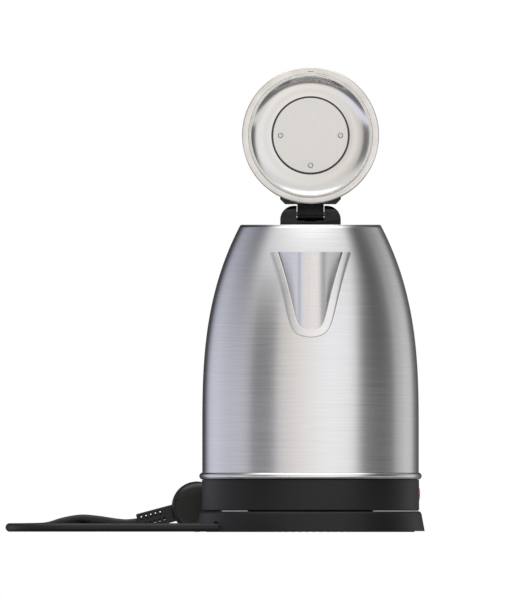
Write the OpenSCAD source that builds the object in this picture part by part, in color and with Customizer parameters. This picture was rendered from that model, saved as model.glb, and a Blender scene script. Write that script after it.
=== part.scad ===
// Cordless electric kettle, 1.7 litre, on a round 360 degree power base.
// Frame: millimetres, +Z up, origin on the surface the base stands on, at the jug's axis.
// The spout points to -Y and the handle to +Y. The lid is drawn open, at its stop.

/* [Power base] */
// Radius of the base where it meets the worktop
base_r = 80; // [78:0.5:84]
// Height of the base's top face
base_h = 14.6; // [14:0.1:15]
// Wall thickness of the moulded plastic housings
wall = 2.2; // [1.8:0.1:2.4]

/* [Jug] */
// Outer radius of the steel body above its bead
body_r = 75.8; // [75:0.1:76.2]
// Outer radius of the steel body at its rim
rim_r = 49; // [48.6:0.1:49.4]
// Height of the rim above the worktop
rim_z = 215.1; // [214.8:0.1:215.4]
// Thickness of the steel sheet
sheet = 0.8; // [0.6:0.1:0.9]

/* [Lid] */
// Outer radius of the lid
lid_r = 48; // [47:0.1:48.2]
// Angle at which the lid is drawn, 90 is open and 0 is shut
lid_angle = 90; // [0:5:90]

/* [Handle] */
// Width of the handle
grip_w = 30; // [28:0.5:32]
// Depth of the grip, front to back
grip_d = 21; // [20:0.5:22]

/* [Lead] */
// Diameter of the mains lead
lead_d = 6.2; // [5.8:0.1:6.4]
// Radius of the moulded plug
plug_r = 17.7; // [17:0.1:18]

/* [Hidden] */
$fn = 64;
eps = 0.01;

// --- shared sizes -------------------------------------------------------------------------
base_top_r = base_r - 2.2;
boss_r = 43.7;
boss_z = base_h + 1.5;
turret_r = 16.5;
turret_z = 27;
slot_floor_z = 17.2;
spool_r = 39.5;
lead_r = lead_d / 2;
lead_ring_r = spool_r + lead_r + 0.1;
notch_half = lead_r + 0.6;

jug_z = 15.6;
collar_r = 76.1;
collar_top_z = 36.7;
bead_z = 39.2;
bead_r = 2.45;
bead_ring_r = 75.4;
shell_bottom_z = 37.2;
curve_z = 70;
curve_power = 2.85;
mouth_r = 43.8;
plate_z = 44;

hinge_y = 55;
hinge_z = 222.6;
pin_r = 1.5;
ear_r = 5.8;
ear_half = 21.2;
slot_half = 9.65;
tongue_half = 9.3;
barrel_r = 4.6;

// Outer radius of the steel body at a height: a straight wall that draws in to the rim
function body_radius(z) =
    z < curve_z ? body_r
    : body_r - (body_r - rim_r) * pow((z - curve_z) / (rim_z - curve_z), curve_power);

// Heights at which the body's outline is drawn, from low to high
function heights(low, high, steps) = [for (i = [0 : steps]) low + (high - low) * i / steps];

// Points on a cubic Bezier curve from p to s
function bezier(p, q, r, s, steps, first = 0) = [
    for (i = [first : steps])
        let (t = i / steps)
        pow(1 - t, 3) * p + 3 * pow(1 - t, 2) * t * q + 3 * (1 - t) * t * t * r + t * t * t * s
];

// Unit direction of a path at point i
function along(path, i) =
    let (d = path[min(i + 1, len(path) - 1)] - path[max(i - 1, 0)]) d / norm(d);

// A flat path moved sideways by d, to its left
function beside(path, d) = [
    for (i = [0 : len(path) - 1])
        let (t = along(path, i)) path[i] + d * [-t[1], t[0]]
];

function reversed(list) = [for (i = [len(list) - 1 : -1 : 0]) list[i]];

// A band between two offsets of a flat path
function band(path, from, to) = concat(beside(path, from), reversed(beside(path, to)));

// Tube of radius r along the points of a path, with flat ends
module tube(path, r, sides = 8) {
    rings = len(path);
    function ring_point(i, k) =
        let (
            t = along(path, i),
            side = abs(t[2]) > 0.9 ? [1, 0, 0] : [0, 0, 1],
            u = cross(t, side) / norm(cross(t, side)),
            v = cross(t, u)
        )
        path[i] + r * (cos(360 * k / sides) * u + sin(360 * k / sides) * v);
    points = [for (i = [0 : rings - 1]) for (k = [0 : sides - 1]) ring_point(i, k)];
    walls = [
        for (i = [0 : rings - 2]) for (k = [0 : sides - 1])
            let (a = i * sides + k, b = i * sides + (k + 1) % sides)
            [a, a + sides, b + sides, b]
    ];
    ends = [
        [for (k = [0 : sides - 1]) k],
        [for (k = [sides - 1 : -1 : 0]) (rings - 1) * sides + k]
    ];
    polyhedron(concat(walls, ends) == [] ? [] : points, concat(walls, ends), convexity = 6);
}

// Points of a coil spring about +Z
function coil_path(r, turns, height, steps) = [
    for (i = [0 : turns * steps])
        let (a = 360 * i / steps)
        [r * cos(a), r * sin(a), height * i / (turns * steps)]
];

// Pan-head screw standing on z = 0 with its thread going down
module screw(head_r = 2.8, head_h = 1.6, shank_r = 1.3, length = 8) {
    difference() {
        union() {
            cylinder(r = head_r, h = head_h);
            translate([0, 0, -length]) cylinder(r = shank_r, h = length + eps);
        }
        for (a = [0, 90])
            rotate(a) translate([-0.35, -head_r * 0.6, head_h - 0.8]) cube([0.7, head_r * 1.2, 1]);
    }
}

// --- power base ---------------------------------------------------------------------------
base_screw_r = 58;
base_screw_angles = [90, 210, 330];

// The way the lead takes through the skirt, along -X
module lead_notch(top) {
    translate([-95, -lead_ring_r - notch_half, -1]) cube([55, 2 * notch_half, top + 1 - notch_half]);
    translate([-95, -lead_ring_r, top - notch_half])
        rotate([0, 90, 0]) cylinder(r = notch_half, h = 55);
}

module base_housing() {
    corner = 2.4;
    color("#26262a")
    difference() {
        union() {
            rotate_extrude()
                polygon(concat(
                    [[base_r, 0.6]],
                    [for (a = [10 : 16 : 90])
                        [base_top_r - corner + corner * cos(a), base_h - corner + corner * sin(a)]],
                    [[boss_r + 0.6, base_h], [boss_r, base_h + 0.6], [boss_r, boss_z - 0.4],
                     [boss_r - 0.4, boss_z], [turret_r + 0.3, boss_z],
                     [turret_r + 0.3, boss_z - wall], [boss_r - wall, boss_z - wall],
                     [boss_r - wall, base_h - wall], [base_top_r - corner - 0.6, base_h - wall],
                     [base_top_r - wall, base_h - wall - 1.8], [base_r - wall, 0.6]]
                ));
            for (a = base_screw_angles)
                rotate(a) translate([base_screw_r, 0, 9.1]) cylinder(r = 3.6, h = base_h - wall - 9.1 + 0.2);
        }
        for (a = base_screw_angles)
            rotate(a) translate([base_screw_r, 0, 8]) cylinder(r = 1.3, h = 5);
        lead_notch(7.4);
    }
}

module base_bottom_cover() {
    color("#1f1f22")
    difference() {
        rotate_extrude()
            polygon([
                [0, 0.8], [spool_r, 0.8], [spool_r, 7.5], [64.5, 7.5], [64.5, 1.6],
                [77.2, 1.6], [77.0, 3.0], [66.2, 3.0], [66.2, 9.0], [spool_r - 1.8, 9.0],
                [spool_r - 1.8, 2.4], [0, 2.4]
            ]);
        for (a = base_screw_angles)
            rotate(a) translate([base_screw_r, 0, 5]) cylinder(r = 1.5, h = 6);
        lead_notch(7.4);
        rotate(200) translate([spool_r - 3, -4, 1.2]) cube([6, 8, 6.2]);
        for (a = [0 : 60 : 300])
            rotate(a + 30) translate([16, -1.2, 0]) cube([14, 2.4, 4]);
    }
}

module non_slip_ring() {
    color("#3a3a3c")
    difference() {
        rotate_extrude() translate([68, 0]) square([5, 1.6]);
        lead_notch(7.4);
    }
}

module base_screws() {
    color("silver")
    for (a = base_screw_angles)
        rotate(a) translate([base_screw_r, 0, 7.5]) mirror([0, 0, 1]) screw(length = 4.6);
}

module base_connector() {
    color("#2e2e31")
    difference() {
        union() {
            translate([0, 0, 9.4]) cylinder(r = turret_r, h = turret_z - 9.4 - 1);
            translate([0, 0, turret_z - 1]) cylinder(r1 = turret_r, r2 = turret_r - 1, h = 1);
            translate([0, 0, 11.6]) cylinder(r = 21, h = boss_z - wall - 11.6 - 0.05);
        }
        translate([0, 0, slot_floor_z]) cylinder(r = 3, h = 12);
        for (r = [6, 11])
            translate([0, 0, slot_floor_z])
                rotate_extrude() translate([r, 0]) square([2.2, 12]);
    }
}

module base_contacts() {
    color("#c9a24a")
    for (x = [2.45, 7.6, 12.6])
        translate([x, -min(1.5, x * 0.4), slot_floor_z]) cube([0.3, 2 * min(1.5, x * 0.4), 7.5]);
}

module cord_clamp() {
    color("#1b1b1d")
    rotate(200) difference() {
        translate([29.5, -6, 2.4]) cube([7.4, 12, 6]);
        translate([33.2, 0, 3.4]) cylinder(r = 1.2, h = 8);
    }
}

module stored_lead() {
    color("#141414")
    union() {
        rotate([0, 0, -90]) rotate_extrude(angle = 288) translate([lead_ring_r, lead_r + 0.1]) circle(r = lead_r);
        translate([0, -lead_ring_r, lead_r + 0.1]) rotate([0, -90, 0]) cylinder(r = lead_r, h = 66);
    }
}

// --- free lead and plug -------------------------------------------------------------------
plug_x = -79.5;
plug_y = 92;
plug_tilt = 15;
boot_end = 42.7;
lead_z = lead_r + 0.1;
boot_end_x = plug_x - boot_end * cos(plug_tilt);
boot_end_z = plug_r - boot_end * sin(plug_tilt);

// Route of the lead: along the front, a wide turn, a small loop over itself, into the plug's boot
lead_route = [
    [-66, -42.7, 3.2], [-80, -42.7, 3.2], [-105, -42.7, 3.2], [-130, -42.7, 3.2],
    [-155, -42.7, 3.2], [-172, -42, 3.2], [-188, -37, 3.2], [-200.5, -27, 3.2],
    [-208.5, -12, 3.2], [-209.5, 4, 3.2], [-203.5, 19, 3.2], [-192, 31.5, 3.2],
    [-179, 43.5, 3.2], [-169, 58, 3.2], [-162.5, 75, 3.2], [-158.5, 92, 3.2],
    [-156, 107, 3.2], [-156, 121, 3.2], [-160, 134, 3.2], [-169.5, 143.5, 3.2],
    [-183, 147, 3.2], [-196.5, 143.5, 3.2], [-206.5, 133.5, 3.2], [-210.5, 120, 3.2],
    [-207, 106.5, 3.2], [-197.5, 96, 3.3], [-184.5, 92, 4.1], [-173, 91.5, 8],
    [-161, 92, 10.1], [-149, 92, 9], [-137, 92, 6.6], [-129, 92, 5.9],
    [boot_end_x, plug_y, boot_end_z]
];

// Catmull-Rom points between the route's own, so that the tube bends smoothly
function smooth(route, parts) = [
    for (i = [0 : len(route) - 2]) for (k = [0 : parts - 1])
        let (
            t = k / parts, a = route[max(i - 1, 0)], b = route[i], c = route[i + 1],
            d = route[min(i + 2, len(route) - 1)]
        )
        0.5 * (2 * b + (c - a) * t + (2 * a - 5 * b + 4 * c - d) * t * t + (3 * b - a - 3 * c + d) * t * t * t),
    route[len(route) - 1]
];

module power_cord() {
    color("#141414") tube(smooth(lead_route, 2), lead_r, 10);
}

// Places a plug part: its back faces -Y, its pins point to +Y, tilted down at the boot
module plug_place() {
    translate([plug_x, plug_y, plug_r]) rotate([0, -plug_tilt, 0]) children();
}

module mains_plug() {
    color("#1c1c1c")
    plug_place() difference() {
        union() {
            rotate([-90, 0, 0]) translate([0, 0, -13]) cylinder(r1 = 14.5, r2 = plug_r, h = 7);
            rotate([-90, 0, 0]) translate([0, 0, -6]) cylinder(r = plug_r, h = 12);
            rotate([-90, 0, 0]) translate([0, 0, 6]) cylinder(r = plug_r - 0.6, h = 17);
            translate([-boot_end, -4.5, -6]) cube([boot_end - 8, 9, 12]);
        }
        for (side = [-1, 1])
            rotate([-90, 0, 0]) translate([side * 9.5, 0, 18]) cylinder(r = 2.4, h = 6);
        for (side = [-1, 1])
            rotate([-90, 0, 0]) translate([-3, side * (plug_r - 1.2) - 1, 8]) cube([6, 2, 16]);
        for (i = [0 : 5]) for (side = [-1, 1]) {
            translate([-boot_end + 2.6 + i * 3.2, side * 4.5 - 1.2, 0.8]) cube([1.5, 2.4, 3.6]);
            translate([-boot_end + 4.2 + i * 3.2, side * 4.5 - 1.2, -4.4]) cube([1.5, 2.4, 3.6]);
        }
    }
}

module plug_pins() {
    color("#d8d8d8")
    plug_place() for (side = [-1, 1]) rotate([-90, 0, 0]) translate([side * 9.5, 0, 18]) {
        cylinder(r = 2.4, h = 23);
        translate([0, 0, 23]) cylinder(r1 = 2.4, r2 = 1.4, h = 1);
    }
}

module plug_earth_clips() {
    color("#c8c8c8")
    plug_place() for (side = [-1, 1])
        rotate([-90, 0, 0]) translate([-2.3, side * (plug_r - 0.8) - 0.6, 8.1]) cube([4.6, 1.2, 14.4]);
}

// --- jug: socket under it -----------------------------------------------------------------
module socket_carrier() {
    color("#37373a")
    rotate_extrude()
        polygon([[0, 28.5], [turret_r + 0.7, 28.5], [turret_r + 0.7, 17.4], [19.3, 17.4],
                 [19.3, 31.5], [0, 31.5]]);
}

module socket_earth_pin() {
    color("#c9a24a") {
        translate([0, 0, 19.2]) cylinder(r = 2.2, h = 9.3);
        translate([0, 0, 18.2]) cylinder(r1 = 1.4, r2 = 2.2, h = 1);
    }
}

module socket_contact_rings() {
    color("#c9a24a")
    for (r = [6.8, 11.8])
        translate([0, 0, 19]) rotate_extrude() translate([r, 0]) square([0.6, 9.5]);
}

// --- jug: steel parts ---------------------------------------------------------------------
body_outline = concat([[body_r, shell_bottom_z]], [for (z = heights(curve_z, rim_z - 0.6, 18)) [body_radius(z), z]]);

module body_solid(extra = 0) {
    rotate_extrude()
        polygon(concat([[0, shell_bottom_z - 1]], [[body_r + extra, shell_bottom_z - 1]],
                       [for (p = body_outline) [p[0] + extra, p[1]]], [[0, rim_z - 0.6]]));
}

// Front outline of the opening in the body behind the spout
pour_window = [[-17, 190], [17, 190], [12, 166], [7, 153], [0, 149.5], [-7, 153], [-12, 166]];

module body_shell() {
    color("#b9bcc2")
    difference() {
        rotate_extrude()
            polygon(concat(
                body_outline,
                [[rim_r - 0.6, rim_z], [mouth_r, rim_z], [mouth_r, rim_z - 4], [mouth_r + sheet, rim_z - 4],
                 [mouth_r + sheet, rim_z - sheet], [body_radius(rim_z - 1.2) - sheet, rim_z - 1.2]],
                [for (p = reversed(body_outline)) if (p[1] < rim_z - 2) [p[0] - sheet, p[1]]]
            ));
        translate([0, -50, 0]) rotate([90, 0, 0]) linear_extrude(35) polygon(pour_window);
        translate([-5, 50, 196]) cube([10, 20, 4]);
    }
}

// The beak's front line leans out, and its sides sweep back to the body
beak_foot_y = 72.2;
beak_foot_z = 141.1;
beak_top_z = 196;
beak_lean = 0.22;
beak_half = 23.1;
// Its section is a rounded nose with straight sides: how steep they are, where they start, how soft the bend is
beak_slope = 2.31;
beak_bend = 9.7;
beak_soft = 3;
function beak_side(x) =
    let (out = abs(x) - beak_bend) beak_slope / 2 * (sqrt(out * out + beak_soft * beak_soft) + out);
function beak_y(x, z) =
    -(beak_foot_y + beak_lean * (z - beak_foot_z)) + beak_side(x) - beak_side(0);
function body_front_y(x, z) = -sqrt(pow(body_radius(z), 2) - x * x);
// Height at which the beak leaves the body, found by halving
function beak_edge_z(x, low, high, n = 18) =
    let (mid = (low + high) / 2)
    n == 0 ? mid
    : beak_y(x, mid) > body_front_y(x, mid) ? beak_edge_z(x, mid, high, n - 1)
    : beak_edge_z(x, low, mid, n - 1);

beak_columns = 28;
beak_rows = 8;
flange_w = 5.2;
flange_t = 0.7;

// A closed sheet between a front and a back grid of points, both [row][column]
module grid_sheet(front, back) {
    rows = len(front);
    columns = len(front[0]);
    count = rows * columns;
    points = concat([for (row = front) each row], [for (row = back) each row]);
    function at(i, j) = i * columns + j;
    faces = concat(
        [for (i = [0 : rows - 2]) for (j = [0 : columns - 2]) each
            [[at(i, j), at(i + 1, j), at(i + 1, j + 1)], [at(i, j), at(i + 1, j + 1), at(i, j + 1)],
             [count + at(i, j), count + at(i + 1, j + 1), count + at(i + 1, j)],
             [count + at(i, j), count + at(i, j + 1), count + at(i + 1, j + 1)]]],
        [for (j = [0 : columns - 2]) each
            [[at(0, j), at(0, j + 1), count + at(0, j + 1)], [at(0, j), count + at(0, j + 1), count + at(0, j)],
             [at(rows - 1, j), count + at(rows - 1, j + 1), at(rows - 1, j + 1)],
             [at(rows - 1, j), count + at(rows - 1, j), count + at(rows - 1, j + 1)]]],
        [for (i = [0 : rows - 2]) each
            [[at(i, 0), count + at(i + 1, 0), at(i + 1, 0)], [at(i, 0), count + at(i, 0), count + at(i + 1, 0)],
             [at(i, columns - 1), at(i + 1, columns - 1), count + at(i + 1, columns - 1)],
             [at(i, columns - 1), count + at(i + 1, columns - 1), count + at(i, columns - 1)]]]
    );
    polyhedron(points, faces, convexity = 8);
}

module spout() {
    xs = [for (j = [0 : beak_columns]) beak_half * 0.995 * (2 * j / beak_columns - 1)];
    edge = [for (x = xs) beak_edge_z(x, beak_foot_z - 3, beak_top_z + 3)];
    lip = [for (z = edge) min(z, beak_top_z - 0.4)];
    function slope(x) = (beak_side(abs(x) + 0.1) - beak_side(abs(x))) / 0.1;
    function thick(x) = flange_t * sqrt(1 + pow(slope(x), 2));
    beak_front = [for (i = [0 : beak_rows]) [for (j = [0 : beak_columns])
        let (z = lip[j] + (beak_top_z - lip[j]) * i / beak_rows) [xs[j], beak_y(xs[j], z), z]]];
    beak_back = [for (row = beak_front) [for (p = row) [p[0], p[1] + thick(p[0]), p[2]]]];
    // The flange runs round the edge; its outer line is the edge pushed out in the front view
    line = [for (j = [0 : beak_columns]) [xs[j], lip[j]]];
    outer = beside(line, -flange_w);
    function flange_point(p, out) =
        let (q = [p[0], min(p[1], beak_top_z)]) [q[0], body_front_y(q[0], q[1]) - out, q[1]];
    flange_front = [for (i = [0 : 3]) [for (j = [0 : beak_columns])
        flange_point(outer[j] + (line[j] - outer[j]) * i / 3, i == 0 ? 0.25 : flange_t)]];
    flange_back = [for (i = [0 : 3]) [for (j = [0 : beak_columns])
        flange_point(outer[j] + (line[j] - outer[j]) * i / 3, 0.02)]];
    color("#c4c6ca") {
        grid_sheet(beak_front, beak_back);
        grid_sheet(flange_front, flange_back);
    }
}

module spout_filter() {
    color("#d9d9d9")
    intersection() {
        rotate_extrude()
            polygon([[body_radius(146) - 2, 146], [body_radius(146) - 1, 146], [body_radius(170) - 1.2, 170],
                     [body_radius(192) - 1.2, 192], [body_radius(192) - 2.2, 192], [body_radius(170) - 2.2, 170]]);
        translate([0, -50, 0]) rotate([90, 0, 0]) linear_extrude(35) difference() {
            polygon([[-20, 192], [20, 192], [15, 164], [8, 148], [0, 146.5], [-8, 148], [-15, 164]]);
            for (x = [-13 : 4.3 : 13]) for (z = [156 : 5 : 186])
                if (abs(x) < 3 + (z - 152) * 0.3) translate([x, z]) square([2.6, 3.2], center = true);
        }
    }
}

module bead_ring() {
    color("#cfd1d4")
    rotate_extrude() intersection() {
        translate([bead_ring_r, bead_z]) circle(r = bead_r);
        translate([body_r + 0.02, bead_z - 5]) square([10, 10]);
    }
}

// --- jug: lower housing and heater --------------------------------------------------------
module collar() {
    color("#232326")
    difference() {
        rotate_extrude()
            polygon([
                [collar_r - 1.5, jug_z], [collar_r - 0.5, jug_z + 0.4], [collar_r, jug_z + 1.5],
                [collar_r - 0.1, collar_top_z], [74.7, collar_top_z], [74.7, 40.4], [72.6, 40.4],
                [72.6, collar_top_z - wall], [collar_r - wall, collar_top_z - wall],
                [collar_r - wall, jug_z + 4.2], [collar_r - wall - 1.2, jug_z + 4.2],
                [collar_r - wall - 1.2, jug_z + 2.6], [72, jug_z + 2.6], [72, jug_z]
            ]);
        translate([60, 0, 26.6]) rotate([0, 90, 0]) cylinder(r = 4.5, h = 30);
    }
}

bottom_screw_r = 60;
bottom_screw_angles = [45, 165, 285];

module bottom_cover() {
    color("#1e1e20")
    difference() {
        union() {
            rotate_extrude()
                polygon([
                    [19.8, 16.25], [boss_r + 1.8, 16.25], [boss_r + 1.8, jug_z + 0.3],
                    [71.9, jug_z + 0.3], [71.9, jug_z + 2.3], [boss_r + 3.8, jug_z + 2.3],
                    [boss_r + 3.8, 18.25], [19.8, 18.25]
                ]);
            for (a = bottom_screw_angles)
                rotate(a) translate([bottom_screw_r, 0, jug_z + 2]) cylinder(r = 3.4, h = 17);
        }
        for (a = bottom_screw_angles)
            rotate(a) translate([bottom_screw_r, 0, jug_z + 1.9]) cylinder(r = 1.3, h = 20);
        for (a = bottom_screw_angles)
            rotate(a) translate([bottom_screw_r, 0, jug_z - 1]) cylinder(r = 3, h = 2.9);
    }
}

module bottom_screws() {
    color("silver")
    for (a = bottom_screw_angles)
        rotate(a) translate([bottom_screw_r, 0, jug_z + 1.9]) mirror([0, 0, 1]) screw(head_h = 1.4, length = 14);
}

module heating_plate() {
    color("#c8cacc")
    rotate_extrude()
        polygon([[0, plate_z], [70, plate_z], [74.9, plate_z + 2.4], [74.9, plate_z + 3.4],
                 [69.8, plate_z + 1], [0, plate_z + 1]]);
}

module heat_spreader() {
    color("#a9abae") translate([0, 0, plate_z - 3]) cylinder(r = 56, h = 2.98);
}

module heating_element() {
    color("#8f9194") {
        rotate(-70) rotate_extrude(angle = 320) translate([44, plate_z - 6.2]) square([6.4, 3.15]);
        for (a = [-78, -102])
            rotate(a) translate([47.2, 0, plate_z - 15]) cylinder(r = 1.6, h = 12);
    }
}

module plate_seal() {
    color("#e4e4e4")
    rotate_extrude() polygon([[71, 42], [74.8, 42], [74.8, 46.2], [71, 44.3]]);
}

module control_module() {
    color("#ededea")
    difference() {
        union() {
            translate([-24, -20, 31.8]) cube([48, 40, 5.2]);
            translate([0, 0, 31.8]) cylinder(r = 24, h = 5.2);
            translate([-12, 18, 31.8]) cube([24, 16, 5.2]);
        }
        for (x = [-15, 15]) translate([x, 0, 35]) cylinder(r = 6.4, h = 3);
    }
}

module bimetal_discs() {
    color("#b87d3c")
    for (x = [-15, 15]) translate([x, 0, 35.2]) {
        cylinder(r = 6, h = 0.5);
        translate([0, 0, 0.5]) cylinder(r1 = 6, r2 = 4.5, h = 0.5);
    }
}

module pilot_lens() {
    color("#d8504a")
    intersection() {
        translate([72.6, 0, 26.6]) rotate([0, 90, 0]) cylinder(r = 4.4, h = 6);
        translate([56.7, 0, 26.6]) sphere(r = 20);
    }
}

module pilot_lamp() {
    color("#f0dcc8") {
        translate([64, 0, 26.6]) rotate([0, 90, 0]) cylinder(r = 2.6, h = 8.4);
        translate([58, 0, 26.6]) rotate([0, 90, 0]) cylinder(r = 3.2, h = 6);
    }
}

// --- handle -------------------------------------------------------------------------------
grip_path = concat(
    bezier([64, 207], [84, 211], [114, 216], [117.5, 176], 14),
    bezier([117.5, 176], [120.5, 142], [118, 100], [101, 70], 12, 1),
    bezier([101, 70], [94, 57], [86, 47], [74, 38], 8, 1)
);
half_d = grip_d / 2;
grip_split = -2;
// Everything of the jug that the handle has to leave room for
module jug_clearance() {
    translate([-30, 30, 190]) cube([60, 34.05, 60]);
    translate([0, 0, 10]) cylinder(r = collar_r + 0.15, h = 70);
    translate([0, 0, 36.4]) cylinder(r = bead_ring_r + bead_r + 0.15, h = 5.6);
}
// An extrusion across the handle of a side view drawn in [y, z]
module across(width) {
    translate([-width / 2, 0, 0]) rotate([90, 0, 90]) linear_extrude(width) children();
}
// Sizes of the lid button and its place on the handle's top
button_y = 84;
button_len = 15;
button_w = 16;
button_z = 214;
button_top_z = 224.2;
button_travel = 3;
lever_y = 92.5;
lever_z = 58;
lever_tilt = -31;
lever_swing = 8;

module handle_bracket() {
    color("#19191a")
    difference() {
        intersection() {
            across(2 * ear_half) union() {
                polygon([[hinge_y - ear_r, hinge_z], [hinge_y - ear_r, 200], [60, 196.2], [64, 196.5],
                         [64, 217.6], [hinge_y + ear_r, hinge_z - 1.5], [hinge_y + ear_r, hinge_z]]);
                translate([hinge_y, hinge_z]) circle(r = ear_r);
            }
            translate([0, 90, 0]) rotate([90, 0, 0]) linear_extrude(60) union() {
                translate([-ear_half, 190]) square([2 * ear_half, 29.2]);
                translate([-11.5, 190]) square([23, hinge_z + ear_r - 190]);
                for (side = [-1, 1]) translate([side * 11.5, hinge_z + ear_r - 9.7]) circle(r = 9.7);
            }
        }
        translate([0, 0, 185]) cylinder(r1 = 63.8, r2 = rim_r + 0.4, h = rim_z + 0.2 - 185);
        translate([-slot_half, 40, 217.4]) cube([2 * slot_half, 40, 20]);
        translate([-30, hinge_y, hinge_z]) rotate([0, 90, 0]) cylinder(r = pin_r, h = 60);
        translate([-4.4, 57, 208.2]) cube([8.8, 10, 3.6]);
        translate([-4.4, 60.1, 208.2]) cube([8.8, 3.5, 20]);
        for (side = [-1, 1])
            translate([side * 15, 50, 203]) rotate([-90, 0, 0]) cylinder(r = 1.3, h = 16);
    }
}

module handle_outer() {
    color("#1b1b1c")
    difference() {
        across(grip_w) polygon(band(grip_path, grip_split, half_d));
        across(grip_w - 5) polygon(band(grip_path, grip_split - 1, half_d - 2.5));
        jug_clearance();
        translate([-button_w / 2 - 0.3, button_y - button_len / 2 - 0.3, 205])
            cube([button_w + 0.6, button_len + 0.6, 30]);
        translate([0, lever_y, lever_z]) rotate([lever_tilt + lever_swing / 2, 0, 0])
            translate([-9.4, 0, -3.5]) cube([18.8, 40, 7]);
        translate([-20, lever_y, lever_z]) rotate([0, 90, 0]) cylinder(r = 1.5, h = 40);
    }
}

module handle_inner() {
    color("#1b1b1c")
    difference() {
        across(grip_w) polygon(band(grip_path, -half_d, grip_split - 0.05));
        across(grip_w - 5) polygon(band(grip_path, -half_d + 2.5, grip_split + 1));
        jug_clearance();
        translate([-20, lever_y, lever_z]) rotate([0, 90, 0]) cylinder(r = 1.5, h = 40);
    }
}

module handle_screws() {
    color("silver")
    for (side = [-1, 1]) translate([side * 15, 61.4, 203]) rotate([90, 0, 0]) cylinder(r = 1.28, h = 8);
}

module steam_tube() {
    color("#d6d6d2")
    tube([for (i = [2 : 25]) [8.5, beside(grip_path, -3.4)[i][0], beside(grip_path, -3.4)[i][1]]], 2.2, 8);
}

module steam_switch() {
    place = grip_path[26];
    heading = along(grip_path, 26);
    color("#e8e4da")
    translate([0, place[0], place[1]]) rotate([atan2(heading[1], heading[0]), 0, 0])
        translate([-9, -6, -5]) cube([18, 12, 11]);
}

module switch_lever() {
    color("#2a2a2c")
    translate([0, lever_y, lever_z]) rotate([lever_tilt, 0, 0]) difference() {
        union() {
            rotate([0, 90, 0]) translate([0, 0, -7]) cylinder(r = 3.2, h = 14);
            translate([-7, 0, -1.5]) cube([14, 13, 3]);
            translate([-9, 12.4, -1.8]) cube([18, 8.6, 3.6]);
        }
        rotate([0, 90, 0]) translate([0, 0, -10]) cylinder(r = 1.56, h = 20);
    }
}

module switch_pivot() {
    color("silver") translate([-14, lever_y, lever_z]) rotate([0, 90, 0]) cylinder(r = 1.5, h = 28);
}

module lid_button() {
    color("#202022")
    translate([0, button_y, 0]) difference() {
        union() {
            translate([-button_w / 2, -button_len / 2, button_z]) cube([button_w, button_len, button_top_z - button_z - 1.2]);
            translate([-button_w / 2 + 1, -button_len / 2 + 1, button_z]) cube([button_w - 2, button_len - 2, button_top_z - button_z]);
        }
        translate([0, 0, button_z - 1]) cylinder(r = 4.4, h = 4);
    }
}

module button_spring() {
    color("silver")
    translate([0, button_y, 204.6]) tube(coil_path(3.2, 5, 12, 12), 0.4, 6);
}

module lid_catch() {
    color("#303033") {
        translate([-4, 57.6, 208.6]) cube([8, 16.6, 2.8]);
        translate([-4, 60.4, 211.3]) cube([8, 1.4, 9.6]);
    }
}

// --- lid ----------------------------------------------------------------------------------
// Turns a part drawn on the shut lid to the angle at which the lid stands
module lid_place() {
    translate([0, hinge_y, hinge_z]) rotate([-lid_angle, 0, 0]) translate([0, -hinge_y, -hinge_z]) children();
}

lid_z = rim_z + 0.3;
dome_h = 5;

module hinge_pin() {
    color("silver") translate([-18.8, hinge_y, hinge_z]) rotate([0, 90, 0]) cylinder(r = pin_r, h = 37.6);
}

module hinge_spring() {
    color("silver")
    translate([-4, hinge_y, hinge_z]) rotate([0, 90, 0]) tube(coil_path(2.5, 6, 8, 12), 0.45, 6);
}

// Height of the domed cover's outside at radius r, above the cover's edge
function dome_height(r) = dome_h * (1 - pow(r / (lid_r - 1.2), 2));

lid_top_z = lid_z + 3.4;
lid_radii = [for (i = [0 : 10]) (lid_r - 1.2) * (10 - i) / 10];
// The lid's edge and domed top from the flange inwards, d outside its surface
function lid_outline(d) = concat(
    [[lid_r + d, lid_z + 0.6], [lid_r + d, lid_top_z - 1.4], [lid_r - 0.4 + d, lid_top_z - 0.4]],
    [for (r = lid_radii) [r, lid_top_z + dome_height(r) + d]]
);

module lid_cover() {
    color("#c0c2c6")
    lid_place() difference() {
        rotate_extrude()
            polygon(concat(
                [[43.4, lid_z], [lid_r - 0.5, lid_z]],
                lid_outline(0),
                [for (r = reversed(lid_radii)) [min(r, lid_r - 1.4), lid_top_z + dome_height(r) - sheet]],
                [[lid_r - sheet, lid_top_z - 1.4], [lid_r - sheet, lid_z + sheet], [43.4, lid_z + sheet]]
            ));
        translate([0, 0, lid_z - 1]) linear_extrude(2.4)
            polygon([[-3.1, -42.9], [-1.9, -44.9], [1.9, -44.9], [3.1, -42.9]]);
    }
}

// The pan's dished wall is an arc that starts at its flange and ends level at dish_r
dish_r = 31.5;
dish_arc_r = 16.5;
dish_edge = 37.3;
flange_z = lid_z + sheet + 0.1;
pan_z = flange_z + dish_arc_r * (1 - cos(dish_edge));
disc_r = 26.3;

module lid_pan() {
    function dish(d) = [
        for (i = [0 : 8])
            let (a = dish_edge * (8 - i) / 8)
            [dish_r + (dish_arc_r - d) * sin(a), pan_z + d - (dish_arc_r - d) * (1 - cos(a))]
    ];
    color("#cdced0")
    lid_place() rotate_extrude()
        polygon(concat(
            [[44.6, flange_z]], dish(0), [[disc_r + 1.3, pan_z], [disc_r + 1.3, pan_z + 0.7]],
            reversed(dish(0.7)), [[44.6, flange_z + 0.7]]
        ));
}

module lid_disc() {
    color("#d3d4d5")
    lid_place() {
        translate([0, 0, pan_z - 0.5]) cylinder(r1 = disc_r - 0.4, r2 = disc_r, h = 0.5);
        translate([0, 0, pan_z]) cylinder(r = disc_r, h = 0.7);
        translate([0, 0, pan_z + 0.6]) cylinder(r = 10, h = lid_top_z + dome_height(10) - sheet - 0.05 - pan_z - 0.6);
    }
}

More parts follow.
